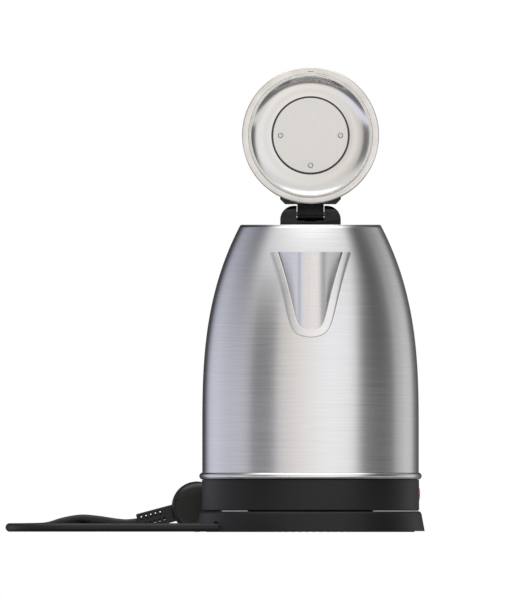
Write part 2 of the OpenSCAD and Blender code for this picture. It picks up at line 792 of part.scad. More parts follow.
module lid_rivets() {
    color("#8e8f91")
    lid_place() for (p = [[-21, 0], [21, 0], [0, 21]])
        translate([p[0], p[1], pan_z - 1]) cylinder(r1 = 1.2, r2 = 1.8, h = 0.5);
}

module lid_seal() {
    color("#e2e2e0")
    lid_place() rotate_extrude()
        polygon([[42.05, lid_z - 0.4], [42.4, lid_z - 0.8], [42.9, lid_z - 0.8], [43.25, lid_z - 0.4],
                 [43.25, flange_z - 0.02], [42.05, flange_z - 0.02]]);
}

module lid_arm() {
    color("#161617")
    lid_place() difference() {
        union() {
            translate([0, 0, lid_z + 0.9]) linear_extrude(9.6) difference() {
                translate([-21.3, 38]) square([42.6, 10.2]);
                for (side = [-1, 1]) translate([side * 21.3, 48.2]) rotate(45) square(5, center = true);
            }
            translate([-tongue_half, 46, hinge_z - barrel_r]) cube([2 * tongue_half, hinge_y - 46, 2 * barrel_r]);
            translate([-tongue_half, hinge_y, hinge_z]) rotate([0, 90, 0]) cylinder(r = barrel_r, h = 2 * tongue_half);
        }
        rotate_extrude() polygon(concat([[0, lid_z], [lid_r + 0.02, lid_z]], lid_outline(0.02)));
        translate([-30, hinge_y, hinge_z]) rotate([0, 90, 0]) cylinder(r = pin_r + 0.06, h = 60);
        translate([-4.4, hinge_y, hinge_z]) rotate([0, 90, 0]) cylinder(r = 3.2, h = 8.8);
    }
}

base_housing();
base_bottom_cover();
non_slip_ring();
base_screws();
base_connector();
base_contacts();
cord_clamp();
stored_lead();
power_cord();
mains_plug();
plug_pins();
plug_earth_clips();
socket_carrier();
socket_earth_pin();
socket_contact_rings();
body_shell();
spout();
spout_filter();
bead_ring();
collar();
bottom_cover();
bottom_screws();
heating_plate();
heat_spreader();
heating_element();
plate_seal();
control_module();
bimetal_discs();
pilot_lens();
pilot_lamp();
handle_bracket();
handle_outer();
handle_inner();
handle_screws();
steam_tube();
steam_switch();
switch_lever();
switch_pivot();
lid_button();
button_spring();
lid_catch();
hinge_pin();
hinge_spring();
lid_cover();
lid_pan();
lid_disc();
lid_rivets();
lid_seal();
lid_arm();
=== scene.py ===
# %% [markdown]
# # A cordless steel kettle on its power base
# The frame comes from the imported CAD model: it holds every part's place and size, in metres, with +Z up
# and the spout towards -Y. This script adds the looks. A piece could be modelled anywhere and then fitted,
# but here each one is built straight at its place in the frame, so that nothing has to be fitted.

# %% Load the frame
import math

import bmesh
import bpy
from mathutils import Matrix, Vector


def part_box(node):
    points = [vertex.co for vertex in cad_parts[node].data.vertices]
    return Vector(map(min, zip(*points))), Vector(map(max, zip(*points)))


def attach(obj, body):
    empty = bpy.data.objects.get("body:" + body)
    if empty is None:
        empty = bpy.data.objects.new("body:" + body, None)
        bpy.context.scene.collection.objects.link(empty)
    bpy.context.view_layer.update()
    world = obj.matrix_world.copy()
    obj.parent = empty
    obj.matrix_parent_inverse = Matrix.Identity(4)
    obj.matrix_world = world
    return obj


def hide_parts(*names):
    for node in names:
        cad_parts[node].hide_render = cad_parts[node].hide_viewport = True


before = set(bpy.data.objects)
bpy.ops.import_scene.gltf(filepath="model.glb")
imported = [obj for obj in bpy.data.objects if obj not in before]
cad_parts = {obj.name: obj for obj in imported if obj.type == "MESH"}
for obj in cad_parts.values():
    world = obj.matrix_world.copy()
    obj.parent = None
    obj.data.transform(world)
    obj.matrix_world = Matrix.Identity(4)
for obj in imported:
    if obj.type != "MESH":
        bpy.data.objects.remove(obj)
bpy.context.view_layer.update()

# %% [markdown]
# ## Driving sizes
# Sizes are in millimetres, as a kettle's drawings give them, and `MM` turns them to Blender's metres.
# They could all be measured from the frame's boxes, but a box says nothing about a fillet or a curve's law,
# so the boxes give the places and these few values give the shapes.

# %% Sizes
MM = 0.001
BASE_R, BASE_H = 80, 14.6
BOSS_R, BOSS_Z = 43.7, 16.1
COLLAR_R, COLLAR_LOW, COLLAR_HIGH = 76.1, 15.6, 36.7
BODY_R, BODY_LOW, CURVE_Z, CURVE_POWER = 75.8, 37.2, 70, 2.85
RIM_R, RIM_Z, MOUTH_R, SHEET = 49, 215.1, 43.8, 0.8
HINGE_Y, HINGE_Z = 55, 222.6
LID_R, LID_Z = 48, 215.4
PLUG_R, PLUG_TILT = 17.7, 15


def box_mm(node):
    """Lowest and highest corner of a CAD node, in millimetres."""
    low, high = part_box(node)
    return Vector(low) / MM, Vector(high) / MM


def linked(name, data):
    """A new object in the scene."""
    made = bpy.data.objects.new(name, data)
    bpy.context.scene.collection.objects.link(made)
    return made


low, high = box_mm("body_shell")
print("body shell", [round(v, 1) for v in low], [round(v, 1) for v in high])

# %% [markdown]
# ## Camera
# The product view is a front elevation with no perspective, so the camera is orthographic and level.
# A long lens from far away would come close to it, but only an orthographic one keeps the lid a true circle.

# %% Camera
VIEW_HEIGHT = 0.42
camera_data = bpy.data.cameras.new("front_elevation")
camera_data.type = "ORTHO"
camera_data.ortho_scale = VIEW_HEIGHT
camera_data.clip_end = 20
camera = linked("front_elevation", camera_data)
camera.location = (-0.0315, -2.0, 0.1624)
camera.rotation_euler = (math.radians(90), 0, 0)
bpy.context.scene.camera = camera
bpy.context.scene.view_settings.view_transform = "Standard"
print("camera sees", VIEW_HEIGHT, "m from bottom to top")

# %% [markdown]
# ## Nodes and colours
# Every material, the studio and every Geometry Nodes tree are built from nodes. One small helper adds a node
# with its settings and joins its inputs, which keeps each tree as short as the drawing of it would be.
# Colours are written as sRGB hex values, as a paint chart gives them, and Blender wants them linear.

# %% One function adds a node
def add_node(tree, kind, inputs=None, **settings):
    """A new node. inputs gives each socket, by name or number, a value or another node's output."""
    node = tree.nodes.new(kind)
    for key, value in settings.items():
        setattr(node, key, value)
    for key, value in (inputs or {}).items():
        if isinstance(value, bpy.types.NodeSocket):
            tree.links.new(value, node.inputs[key])
        else:
            node.inputs[key].default_value = value
    return node


def linear(hex_colour, alpha=1.0):
    """An sRGB hex colour as linear RGBA."""
    channels = [int(hex_colour[i : i + 2], 16) / 255 for i in (0, 2, 4)]
    return [c / 12.92 if c <= 0.04045 else ((c + 0.055) / 1.055) ** 2.4 for c in channels] + [alpha]


print("white is", linear("ffffff"))

# %% [markdown]
# ## Studio
# Bright metal shows its surroundings more than itself, so the studio matters as much as the steel.
# Softboxes could be meshes that give light, but a sky drawn by direction is quicker to render and has no noise.
# Round the kettle run a wide front light, a dark gap on each side of it, and a side light beyond each gap.
# Surfaces that lean forward mirror a low front light instead, and those that face the floor a dark room below.
# A big overhead light closes the gaps for whatever faces upwards, and the ceiling over it is brighter still.
# To the camera itself the sky is plain white.

# %% The lights round the kettle, by azimuth from the camera, with their brightness and tint
AROUND = [
    (-180, 0.07, "ffffff"), (-154, 0.06, "ffffff"), (-144, 0.50, "eef0ff"), (-136, 0.86, "eff1ff"),
    (-122, 0.93, "f0f2ff"), (-100, 0.80, "f3f4ff"), (-80, 0.74, "f8f8ff"), (-71, 0.56, "fcfcff"),
    (-63, 0.26, "ffffff"), (-48, 0.24, "ffffff"), (-41, 0.36, "fffdfa"), (-34, 0.77, "fff8f2"),
    (-16, 1.00, "fff9f4"), (2, 1.13, "fffdfa"), (20, 1.22, "fffdff"), (38, 1.19, "fefeff"),
    (47, 1.00, "fffefa"), (54, 0.44, "ffffff"), (61, 0.19, "ffffff"), (76, 0.14, "ffffff"), (87, 0.16, "ffffff"),
    (97, 0.25, "ffffff"), (106, 0.57, "ffffff"), (122, 0.80, "ffffff"), (136, 0.76, "ffffff"),
    (146, 0.28, "ffffff"), (158, 0.12, "ffffff"), (180, 0.10, "ffffff"),
]
# A low light in front is seen only by what faces down a little, such as the spout's leaning front
LOW_FRONT = [
    (-180, 0.10, "ffffff"), (-152, 0.16, "ffffff"), (-141, 0.60, "eef0ff"), (-122, 1.05, "eef0ff"),
    (-60, 1.25, "eff1ff"), (-19, 1.25, "f0f2ff"), (-15, 1.18, "fff9f4"), (12, 1.26, "fffaf6"),
    (24, 1.24, "fffdf8"), (34, 1.06, "fffffa"), (70, 0.96, "fffffa"), (100, 0.74, "ffffff"),
    (136, 0.62, "ffffff"), (146, 0.28, "ffffff"), (180, 0.10, "ffffff"),
]
OVERHEAD, CEILING, BELOW = 0.98, 2.4, 0.22
# The angles, in degrees, between which one part of the sky gives way to the next
LOW_FRONT_FADE, BELOW_FADE, CEILING_FADE = (7.0, 12.0), (31.0, 39.0), (50.0, 66.0)
# The overhead light is wide, and its middle is a little left of the camera
OVERHEAD_LEFT, OVERHEAD_RISE, OVERHEAD_WIDTH = 12.0, (15.0, 38.0), (57.0, 88.0)
# The side lights lose this share of their brightness with each degree upwards, down to a floor
SIDES_FROM, SIDES_RIGHT, SIDES_LOSS, SIDES_FLOOR = (75.0, 100.0), 15.0, -0.018, 0.35
# The dark room below reaches higher at the sides: its edge rises with the azimuth between these limits
DARK_FROM, DARK_REACH, DARK_RISE, DARK_BELOW = 20.0, 40.0, 0.35, 12.0


def smooth_step(tree, value, low, high):
    """0 below low, 1 above high, and smooth between them."""
    step = add_node(tree, "ShaderNodeMapRange", {0: value, 1: low, 2: high}, interpolation_type="SMOOTHSTEP")
    return step.outputs[0]


def arithmetic(tree, operation, first, second=0.0):
    """One step of arithmetic."""
    return add_node(tree, "ShaderNodeMath", {0: first, 1: second}, operation=operation).outputs[0]


world = bpy.data.worlds.new("studio")
bpy.context.scene.world = world
world.use_nodes = True
sky = world.node_tree
sky.nodes.clear()
direction = add_node(sky, "ShaderNodeSeparateXYZ", {0: add_node(sky, "ShaderNodeTexCoord").outputs["Generated"]})
to_right, to_back, upward = direction.outputs
azimuth = arithmetic(sky, "ARCTAN2", to_right, arithmetic(sky, "MULTIPLY", to_back, -1.0))
azimuth = arithmetic(sky, "MULTIPLY", azimuth, 180 / math.pi)
elevation = arithmetic(sky, "MULTIPLY", arithmetic(sky, "ARCSINE", upward), 180 / math.pi)
print("studio has", len(AROUND), "tones round the kettle")

# %% Join the ring of lights, the low front light, the overhead light and the ceiling
def calc(operation, first, second=0.0):
    """One step of arithmetic in the sky."""
    return arithmetic(sky, operation, first, second)


def dimmed(colour, share):
    """A colour times a share."""
    return add_node(sky, "ShaderNodeVectorMath", {0: colour, "Scale": share}, operation="SCALE").outputs[0]


def laid_over(under, over, share):
    """One part of the sky laid over another."""
    return add_node(sky, "ShaderNodeMix", {"Factor": share, 6: under, 7: over}, data_type="RGBA").outputs[2]


right_side = add_node(sky, "ShaderNodeMath", {0: to_right, 1: 2.0}, operation="MULTIPLY", use_clamp=True).outputs[0]
raised_by = calc("MAXIMUM", elevation, 0.0)
leaning = calc("MULTIPLY", calc("MULTIPLY", raised_by, 0.3), right_side)
turned = calc("SUBTRACT", azimuth, leaning)


def ring_of_tones(tones):
    """A sky whose brightness and tint go by azimuth."""
    place = add_node(sky, "ShaderNodeMapRange", {0: turned, 1: -180.0, 2: 180.0})
    ramp = add_node(sky, "ShaderNodeValToRGB", {0: place.outputs[0]})
    stops = ramp.color_ramp.elements
    stops[0].position, stops[1].position = 0, 1
    for angle, _, _ in tones[1:-1]:
        stops.new((angle + 180) / 360)
    brightest = max(brightness for _, brightness, _ in tones)
    for stop, (angle, brightness, tint) in zip(stops, tones):
        stop.color = [channel * brightness / brightest for channel in linear(tint)[:3]] + [1]
    return dimmed(ramp.outputs[0], brightest)


off_centre = calc("ABSOLUTE", calc("ADD", turned, OVERHEAD_LEFT))
over = calc("MULTIPLY", smooth_step(sky, elevation, *OVERHEAD_RISE),
            calc("SUBTRACT", 1.0, smooth_step(sky, off_centre, *OVERHEAD_WIDTH)))
downward = calc("MULTIPLY", elevation, -1.0)
# The side lights grow weaker upwards, as the top of a softbox does
at_side = smooth_step(sky, calc("ABSOLUTE", calc("SUBTRACT", turned, SIDES_RIGHT)), *SIDES_FROM)
weaker = calc("MULTIPLY", raised_by, SIDES_LOSS)
left_over = calc("MAXIMUM", calc("ADD", calc("MULTIPLY", weaker, at_side), 1.0), SIDES_FLOOR)
whole_sky = laid_over(dimmed(ring_of_tones(AROUND), left_over), ring_of_tones(LOW_FRONT),
                      smooth_step(sky, downward, *LOW_FRONT_FADE))
# The room below the table is dark, and more so to the sides
sideways = calc("MAXIMUM", calc("SUBTRACT", calc("ABSOLUTE", azimuth), DARK_FROM), 0.0)
sideways = calc("MINIMUM", sideways, DARK_REACH)
sinking = calc("ADD", downward, calc("MULTIPLY", sideways, DARK_RISE))
sinking = calc("MULTIPLY", sinking, calc("GREATER_THAN", downward, DARK_BELOW))
for brightness, share in ((BELOW, smooth_step(sky, sinking, *BELOW_FADE)), (OVERHEAD, over),
                          (CEILING, smooth_step(sky, elevation, *CEILING_FADE))):
    whole_sky = laid_over(whole_sky, [brightness] * 3 + [1], share)
lit = add_node(sky, "ShaderNodeBackground", {"Color": whole_sky})
seen = add_node(sky, "ShaderNodeBackground", {"Color": [1, 1, 1, 1]})
ray = add_node(sky, "ShaderNodeLightPath")
both = add_node(sky, "ShaderNodeMixShader", {0: ray.outputs["Is Camera Ray"], 1: lit.outputs[0], 2: seen.outputs[0]})
add_node(sky, "ShaderNodeOutputWorld", {0: both.outputs[0]})
print("sky has", len(sky.nodes), "nodes")

# %% [markdown]
# ## Floor
# The kettle stands on a plain white sweep. A small floor would show its edge in the other views, so it is
# large, and away from the kettle it fades into the white of the backdrop. Polished metal doesn't mirror it:
# in the studio the table is small, and the dark room below it is what the metal shows.

# %% Floor
FLOOR_HALF = 6.0
FADE_START, FADE_END = 0.45, 1.3
floor_mesh = bpy.data.meshes.new("white_sweep")
floor_mesh.from_pydata([(-FLOOR_HALF, -FLOOR_HALF, 0), (FLOOR_HALF, -FLOOR_HALF, 0),
                        (FLOOR_HALF, FLOOR_HALF, 0), (-FLOOR_HALF, FLOOR_HALF, 0)], [], [(0, 1, 2, 3)])
floor = linked("white_sweep", floor_mesh)
white_paint = bpy.data.materials.new("white_painted_sweep")
white_paint.use_nodes = True
paint = white_paint.node_tree
paint.nodes.clear()
where = add_node(paint, "ShaderNodeTexCoord").outputs["Object"]
away = add_node(paint, "ShaderNodeVectorMath", {0: where}, operation="LENGTH").outputs["Value"]
flat_white = add_node(paint, "ShaderNodeBsdfDiffuse", {"Color": linear("f4f4f4")})
backdrop = add_node(paint, "ShaderNodeEmission", {"Color": [1, 1, 1, 1], "Strength": 1.0})
fade = smooth_step(paint, away, FADE_START, FADE_END)
swept = add_node(paint, "ShaderNodeMixShader", {0: fade, 1: flat_white.outputs[0], 2: backdrop.outputs[0]})
add_node(paint, "ShaderNodeOutputMaterial", {0: swept.outputs[0]})
floor_mesh.materials.append(white_paint)
floor.visible_glossy = False
print("floor", FLOOR_HALF * 2, "m wide")

# %% [markdown]
# ## Finishes
# Each finish starts from the real material: what it is, how its surface was made, and what that gives the eye.
# The brushed, satin and moulded surfaces get their grain from noise in Object coordinates, whose scale is
# worked out from a real size in millimetres.

# %% A base for every finish
def finish(name, base, roughness, metallic=0.0, **sockets):
    """A material with a Principled shader whose constants are set on its own sockets."""
    made = bpy.data.materials.new(name)
    made.use_nodes = True
    tree = made.node_tree
    tree.nodes.clear()
    shader = add_node(tree, "ShaderNodeBsdfPrincipled", {"Base Color": linear(base), "Roughness": roughness,
                                                        "Metallic": metallic})
    for socket, value in sockets.items():
        shader.inputs[socket.replace("_", " ")].default_value = value
    add_node(tree, "ShaderNodeOutputMaterial", {0: shader.outputs[0]})
    return made, tree, shader


def grain(tree, spacing, detail=2.0, roughness=0.5):
    """Noise whose features are spacing = (x, y, z) millimetres apart."""
    here = add_node(tree, "ShaderNodeTexCoord").outputs["Object"]
    scaled = add_node(tree, "ShaderNodeMapping", {"Vector": here, "Scale": [1 / (s * MM) for s in spacing]})
    noise = add_node(tree, "ShaderNodeTexNoise", {"Vector": scaled.outputs[0], "Scale": 1.0, "Detail": detail,
                                                 "Roughness": roughness})
    return noise.outputs[0]


def vary(tree, shader, socket, pattern, low, high):
    """Moves a number on the shader between low and high by a pattern."""
    spread = add_node(tree, "ShaderNodeMapRange", {0: pattern, 1: 0.25, 2: 0.75, 3: low, 4: high})
    tree.links.new(spread.outputs[0], shader.inputs[socket])


def tone(tree, shader, pattern, dark, light):
    """Moves the base colour between two hex colours by a pattern."""
    ramp = add_node(tree, "ShaderNodeValToRGB", {0: pattern})
    ramp.color_ramp.elements[0].position, ramp.color_ramp.elements[1].position = 0.3, 0.7
    ramp.color_ramp.elements[0].color, ramp.color_ramp.elements[1].color = linear(dark), linear(light)
    tree.links.new(ramp.outputs[0], shader.inputs["Base Color"])


def raised(tree, shader, pattern, height, strength=1.0):
    """Gives the surface a relief of that height in millimetres."""
    bump = add_node(tree, "ShaderNodeBump", {"Height": pattern, "Distance": height * MM, "Strength": strength})
    tree.links.new(bump.outputs[0], shader.inputs["Normal"])


print("finish helpers ready")

# %% [markdown]
# ### Brushed stainless steel
# The body is 18/10 stainless sheet, deep drawn, then brushed round and round with an abrasive belt. The
# scratches lie level, so a highlight is drawn out up and down the jug and stays sharp across it. Real
# scratches are about 0.05 mm apart, too fine to show from this far, so the streaks are drawn 0.6 mm apart.

# %% Brushed steel
STREAK = (40, 40, 0.6)
brushed_steel, tree, shader = finish("brushed_stainless_steel", "d6d6d8", 0.27, 1.0,
                                     Anisotropic=0.72, Anisotropic_Rotation=0.25)
streaks = grain(tree, STREAK, detail=3.0, roughness=0.65)
tone(tree, shader, streaks, "d2d2d4", "dcdcdd")
vary(tree, shader, "Roughness", streaks, 0.21, 0.27)
raised(tree, shader, streaks, 0.0002)

# The spout and its flange are pressed from the same sheet and brushed by hand, a little coarser
pressed_steel, tree, shader = finish("pressed_stainless_steel", "dedddd", 0.30, 1.0,
                                     Anisotropic=0.45, Anisotropic_Rotation=0.25)
streaks = grain(tree, (18, 18, 0.8), detail=3.0, roughness=0.6)
tone(tree, shader, streaks, "dad9d9", "e3e2e2")
vary(tree, shader, "Roughness", streaks, 0.27, 0.33)
print("brushed steel streaks every", STREAK[2], "mm")

# %% [markdown]
# ### Rolled, satin and bright steel
# The bead round the foot of the jug is rolled bright. The lid's pan is drawn and tumbled, which leaves a soft
# mirror, and the disc in it is bead blasted: an even satin with a grain of about a tenth of a millimetre,
# drawn here at half a millimetre.

# %% Other steels
bright_steel, tree, shader = finish("rolled_bright_steel", "dadada", 0.16, 1.0)
vary(tree, shader, "Roughness", grain(tree, (6, 6, 1.2)), 0.13, 0.20)

drawn_steel, tree, shader = finish("drawn_soft_mirror_steel", "d3d2d0", 0.17, 1.0)
clouds = grain(tree, (9, 9, 9), detail=2.0)
vary(tree, shader, "Roughness", clouds, 0.15, 0.19)

satin_steel, tree, shader = finish("bead_blasted_satin_steel", "d6d5d3", 0.36, 1.0)
grit = grain(tree, (0.55, 0.55, 0.55), detail=1.0)
tone(tree, shader, grit, "d0cfcd", "dbdad8")
raised(tree, shader, grit, 0.006)

lid_steel, tree, shader = finish("lid_edge_satin_steel", "d8d5d2", 0.30, 1.0)
turning = grain(tree, (12, 12, 12), detail=2.0)
tone(tree, shader, turning, "cfccc8", "e0dedb")
vary(tree, shader, "Roughness", turning, 0.26, 0.34)

nickel, tree, shader = finish("nickel_plated_steel", "c9c7c3", 0.20, 1.0)
vary(tree, shader, "Roughness", grain(tree, (1.5, 1.5, 1.5)), 0.16, 0.26)
print("five steels")

# %% [markdown]
# ### Moulded plastics
# The base, collar and handle are black polypropylene from a spark-eroded mould. Its fine orange-peel texture
# breaks up the gloss, so the plastic reads as dark grey where it faces a light. The plug and the button come
# from polished moulds, so they are smoother.

# %% Plastics
TEXTURE = 0.5
black_plastic, tree, shader = finish("textured_black_polypropylene", "101011", 0.42, 0.0, Specular_IOR_Level=0.3)
peel = grain(tree, (TEXTURE, TEXTURE, TEXTURE), detail=2.0)
tone(tree, shader, peel, "0d0d0e", "151516")
vary(tree, shader, "Roughness", peel, 0.37, 0.47)
raised(tree, shader, peel, 0.010)

smooth_plastic, tree, shader = finish("smooth_black_plastic", "101011", 0.33, 0.0, Specular_IOR_Level=0.32)
wear = grain(tree, (4, 4, 4), detail=3.0)
tone(tree, shader, wear, "0d0d0d", "141413")
vary(tree, shader, "Roughness", wear, 0.29, 0.39)

grey_plastic, tree, shader = finish("moulded_dark_grey_plastic", "2b2b2d", 0.45)
peel = grain(tree, (0.6, 0.6, 0.6), detail=2.0)
tone(tree, shader, peel, "272729", "303032")
raised(tree, shader, peel, 0.008)

natural_plastic, tree, shader = finish("natural_heat_resistant_plastic", "dedbd0", 0.42)
cast = grain(tree, (3, 3, 3), detail=2.0)
tone(tree, shader, cast, "d6d2c6", "e6e3d9")
print("plastic texture every", TEXTURE, "mm")

# %% [markdown]
# ### Sheath, rubber, silicone and the red lens
# The lead's sheath is matt black PVC, drawn smooth with faint lengthwise marks. The feet are a grey rubber
# ring, the seals are clear silicone, and the pilot lens is a red polycarbonate that lets light through.

# %% Soft and clear materials
sheath, tree, shader = finish("black_pvc_sheath", "101011", 0.46, 0.0, Specular_IOR_Level=0.32)
marks = grain(tree, (3.5, 3.5, 1.4), detail=3.0)
tone(tree, shader, marks, "0d0d0e", "141415")
vary(tree, shader, "Roughness", marks, 0.40, 0.54)
raised(tree, shader, marks, 0.012)

foot_rubber, tree, shader = finish("grey_foot_rubber", "39393b", 0.72)
crumb = grain(tree, (0.9, 0.9, 0.9), detail=3.0)
tone(tree, shader, crumb, "323234", "414143")
raised(tree, shader, crumb, 0.03)

silicone, tree, shader = finish("clear_silicone", "d9d8d4", 0.34, 0.0)
haze = grain(tree, (5, 5, 5), detail=2.0)
tone(tree, shader, haze, "d0cfcb", "e2e1dd")

red_lens, tree, shader = finish("red_polycarbonate_lens", "c8453f", 0.16, 0.0, Subsurface_Weight=0.35,
                                Subsurface_Scale=0.003, Coat_Weight=0.4)
depth = grain(tree, (2.5, 2.5, 2.5), detail=1.0)
tone(tree, shader, depth, "c23a36", "dd6660")

lamp_glass, tree, shader = finish("lamp_glass", "f4e6da", 0.05, 0.0, Transmission_Weight=0.9, IOR=1.5)
vary(tree, shader, "Roughness", grain(tree, (2, 2, 2)), 0.03, 0.09)
print("soft and clear materials made")

# %% [markdown]
# ### Contacts and heater
# The contacts are brass, dulled by air; the heat spreader and the element's tube are rolled and cast
# aluminium; and the switch's discs are a copper-coloured bimetal.

# %% Metals inside
brass, tree, shader = finish("contact_brass", "c9a24a", 0.28, 1.0)
dull = grain(tree, (1.2, 1.2, 1.2), detail=3.0)
tone(tree, shader, dull, "b08a3c", "d4af5c")
vary(tree, shader, "Roughness", dull, 0.2, 0.4)

aluminium, tree, shader = finish("rolled_aluminium", "b9bbbe", 0.38, 1.0)
rolled = grain(tree, (20, 0.7, 0.7), detail=2.0)
tone(tree, shader, rolled, "b0b2b5", "c4c6c8")
vary(tree, shader, "Roughness", rolled, 0.32, 0.45)

bimetal, tree, shader = finish("copper_bimetal", "b8793c", 0.30, 1.0)
worn = grain(tree, (1.5, 1.5, 1.5), detail=2.0)
tone(tree, shader, worn, "a86c34", "c98d50")
print(len(bpy.data.materials), "materials")

# %% [markdown]
# ## The lead
# The lead is a fixed length of round three-core flex, 6.2 mm thick. It could be simulated, but its lay on the
# floor is known, so it follows the frame's own route: out of the notch in the base, along the front, round in
# one wide turn, over itself in a low hump, and into the plug's boot. A poly curve with a round bevel keeps it
# at one thickness, and a spline through the route's points keeps the bends smooth.

# %% Route of the lead
LEAD_D = 6.2
BOOT_LENGTH = 42.7
PLUG = Vector((-79.5, 92, PLUG_R))
boot_end = PLUG - BOOT_LENGTH * Vector((math.cos(math.radians(PLUG_TILT)), 0, math.sin(math.radians(PLUG_TILT))))
LEAD_ROUTE = [
    (-66, -42.7, 3.2), (-80, -42.7, 3.2), (-105, -42.7, 3.2), (-130, -42.7, 3.2),
    (-155, -42.7, 3.2), (-172, -42, 3.2), (-188, -37, 3.2), (-200.5, -27, 3.2),
    (-208.5, -12, 3.2), (-209.5, 4, 3.2), (-203.5, 19, 3.2), (-192, 31.5, 3.2),
    (-179, 43.5, 3.2), (-169, 58, 3.2), (-162.5, 75, 3.2), (-158.5, 92, 3.2),
    (-156, 107, 3.2), (-156, 121, 3.2), (-160, 134, 3.2), (-169.5, 143.5, 3.2),
    (-183, 147, 3.2), (-196.5, 143.5, 3.2), (-206.5, 133.5, 3.2), (-210.5, 120, 3.2),
    (-207, 106.5, 3.2), (-197.5, 96, 3.3), (-184.5, 92, 3.9), (-173, 91.5, 7.2),
    (-161, 92, 9.2), (-149, 92, 8.4), (-137, 92, 6.6), (-129, 92, 5.9), tuple(boot_end),
]


def spline_through(points, parts):
    """Catmull-Rom points between the given ones."""
    points = [Vector(p) for p in points]
    smooth = []
    for i in range(len(points) - 1):
        a, b, c, d = points[max(i - 1, 0)], points[i], points[i + 1], points[min(i + 2, len(points) - 1)]
        for k in range(parts):
            t = k / parts
            bend = (2 * a - 5 * b + 4 * c - d) * t * t + (3 * b - a - 3 * c + d) * t**3
            smooth.append((2 * b + (c - a) * t + bend) / 2)
    return smooth + [points[-1]]


lead_line = spline_through(LEAD_ROUTE, 5)

# %% Sweep the lead
lead_curve = bpy.data.curves.new("lead", "CURVE")
lead_curve.dimensions = "3D"
lead_curve.bevel_depth = (LEAD_D / 2 - 0.02) * MM
lead_curve.bevel_resolution = 5
lead_curve.use_fill_caps = True
strand = lead_curve.splines.new("POLY")
strand.points.add(len(lead_line) - 1)
for point, place_on in zip(strand.points, lead_line):
    point.co = (*(place_on * MM), 1)
strand.use_smooth = True
lead_curve.materials.append(sheath)
lead = linked("lead", lead_curve)
print("lead has", len(strand.points), "points")

# %% [markdown]
# ## Shaping helpers
# Most of a kettle is turned: it is one outline spun about an axis. Blender's Screw modifier could spin it, but
# writing the rings directly gives exact sizes and leaves nothing to apply. Real mouldings and pressings have
# no knife-sharp corners, so outlines get their corners filleted before they are turned.

# %% Outlines with filleted corners
def filleted(corners, steps=6):
    """Closed outline from (a, b, radius) corners, each rounded with an arc of that radius."""
    outline = []
    for i, (a, b, radius) in enumerate(corners):
        here = Vector((a, b))
        before = Vector(corners[i - 1][:2]) - here
        after = Vector(corners[(i + 1) % len(corners)][:2]) - here
        if radius == 0:
            outline.append((a, b))
            continue
        half = before.angle(after) / 2
        reach = min(radius / math.tan(half), before.length * 0.49, after.length * 0.49)
        arc_radius = reach * math.tan(half)
        middle = here + (before.normalized() + after.normalized()).normalized() * arc_radius / math.sin(half)
        first = here + before.normalized() * reach - middle
        last = here + after.normalized() * reach - middle
        turn = first.angle_signed(last)
        for k in range(steps + 1):
            spoke = Matrix.Rotation(-turn * k / steps, 2) @ first
            outline.append(tuple(middle + spoke))
    return outline


def turned_points(outline, around=192, closed=True):
    """Points and faces of an outline of (radius, height) turned about +Z."""
    points, rows = [], []
    for radius, height in outline:
        if radius < 1e-6:
            rows.append([len(points)] * around)
            points.append((0, 0, height))
        else:
            rows.append(list(range(len(points), len(points) + around)))
            for k in range(around):
                angle = 2 * math.pi * k / around
                points.append((radius * math.cos(angle), radius * math.sin(angle), height))
    faces = []
    pairs = list(zip(rows, rows[1:])) + ([(rows[-1], rows[0])] if closed else [])
    for row, following in pairs:
        for k in range(around):
            corners = [row[k], row[(k + 1) % around], following[(k + 1) % around], following[k]]
            corners = list(dict.fromkeys(corners))
            if len(corners) > 2:
                faces.append(corners)
    return points, faces


print("a 2 mm fillet on a square corner gives", filleted([(0, 0, 2), (9, 0, 0), (9, 9, 0), (0, 9, 0)])[:2])


# %% From points to a finished piece
def dressed(mesh, material, sharp=32):
    """Shades a mesh smooth but for its sharp edges, and gives it one material."""
    mesh.shade_smooth()
    mesh.set_sharp_from_angle(angle=math.radians(sharp))
    mesh.materials.clear()
    mesh.materials.append(material)


def applied(piece):
    """Turns a piece and its modifiers to a plain mesh."""
    evaluated = piece.evaluated_get(bpy.context.evaluated_depsgraph_get())
    mesh = bpy.data.meshes.new_from_object(evaluated)
    piece.modifiers.clear()
    piece.data = mesh


def delete_from(mesh, pick, context):
    """Deletes from a mesh what pick chooses of it."""
    shape = bmesh.new()
    shape.from_mesh(mesh)
    bmesh.ops.delete(shape, geom=pick(shape), context=context)
    shape.to_mesh(mesh)
    shape.free()


def tidy_mesh(mesh, material, sharp=32):
    """Merges doubles, points every face outwards and dresses the mesh."""
    shape = bmesh.new()
    shape.from_mesh(mesh)
    bmesh.ops.remove_doubles(shape, verts=shape.verts, dist=1e-6)
    bmesh.ops.recalc_face_normals(shape, faces=shape.faces)
    shape.to_mesh(mesh)
    shape.free()
    dressed(mesh, material, sharp)


def new_piece(name, points, faces, material, sharp=32):
    """An object from points in millimetres."""
    mesh = bpy.data.meshes.new(name)
    mesh.from_pydata([Vector(p) * MM for p in points], [], faces)
    tidy_mesh(mesh, material, sharp)
    return linked(name, mesh)


def carried(shape, matrix):
    """Points and faces, with the points taken through a matrix."""
    points, faces = shape
    return [matrix @ Vector(p) for p in points], faces


def put(piece, body, slot, *nodes):
    """The piece rides on a body and stands for CAD nodes, which are hidden; slot is not used."""
    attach(piece, body)
    if nodes:
        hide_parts(*nodes)
    print(piece.name, len(piece.data.polygons) if piece.type == "MESH" else "curve", "on", body)


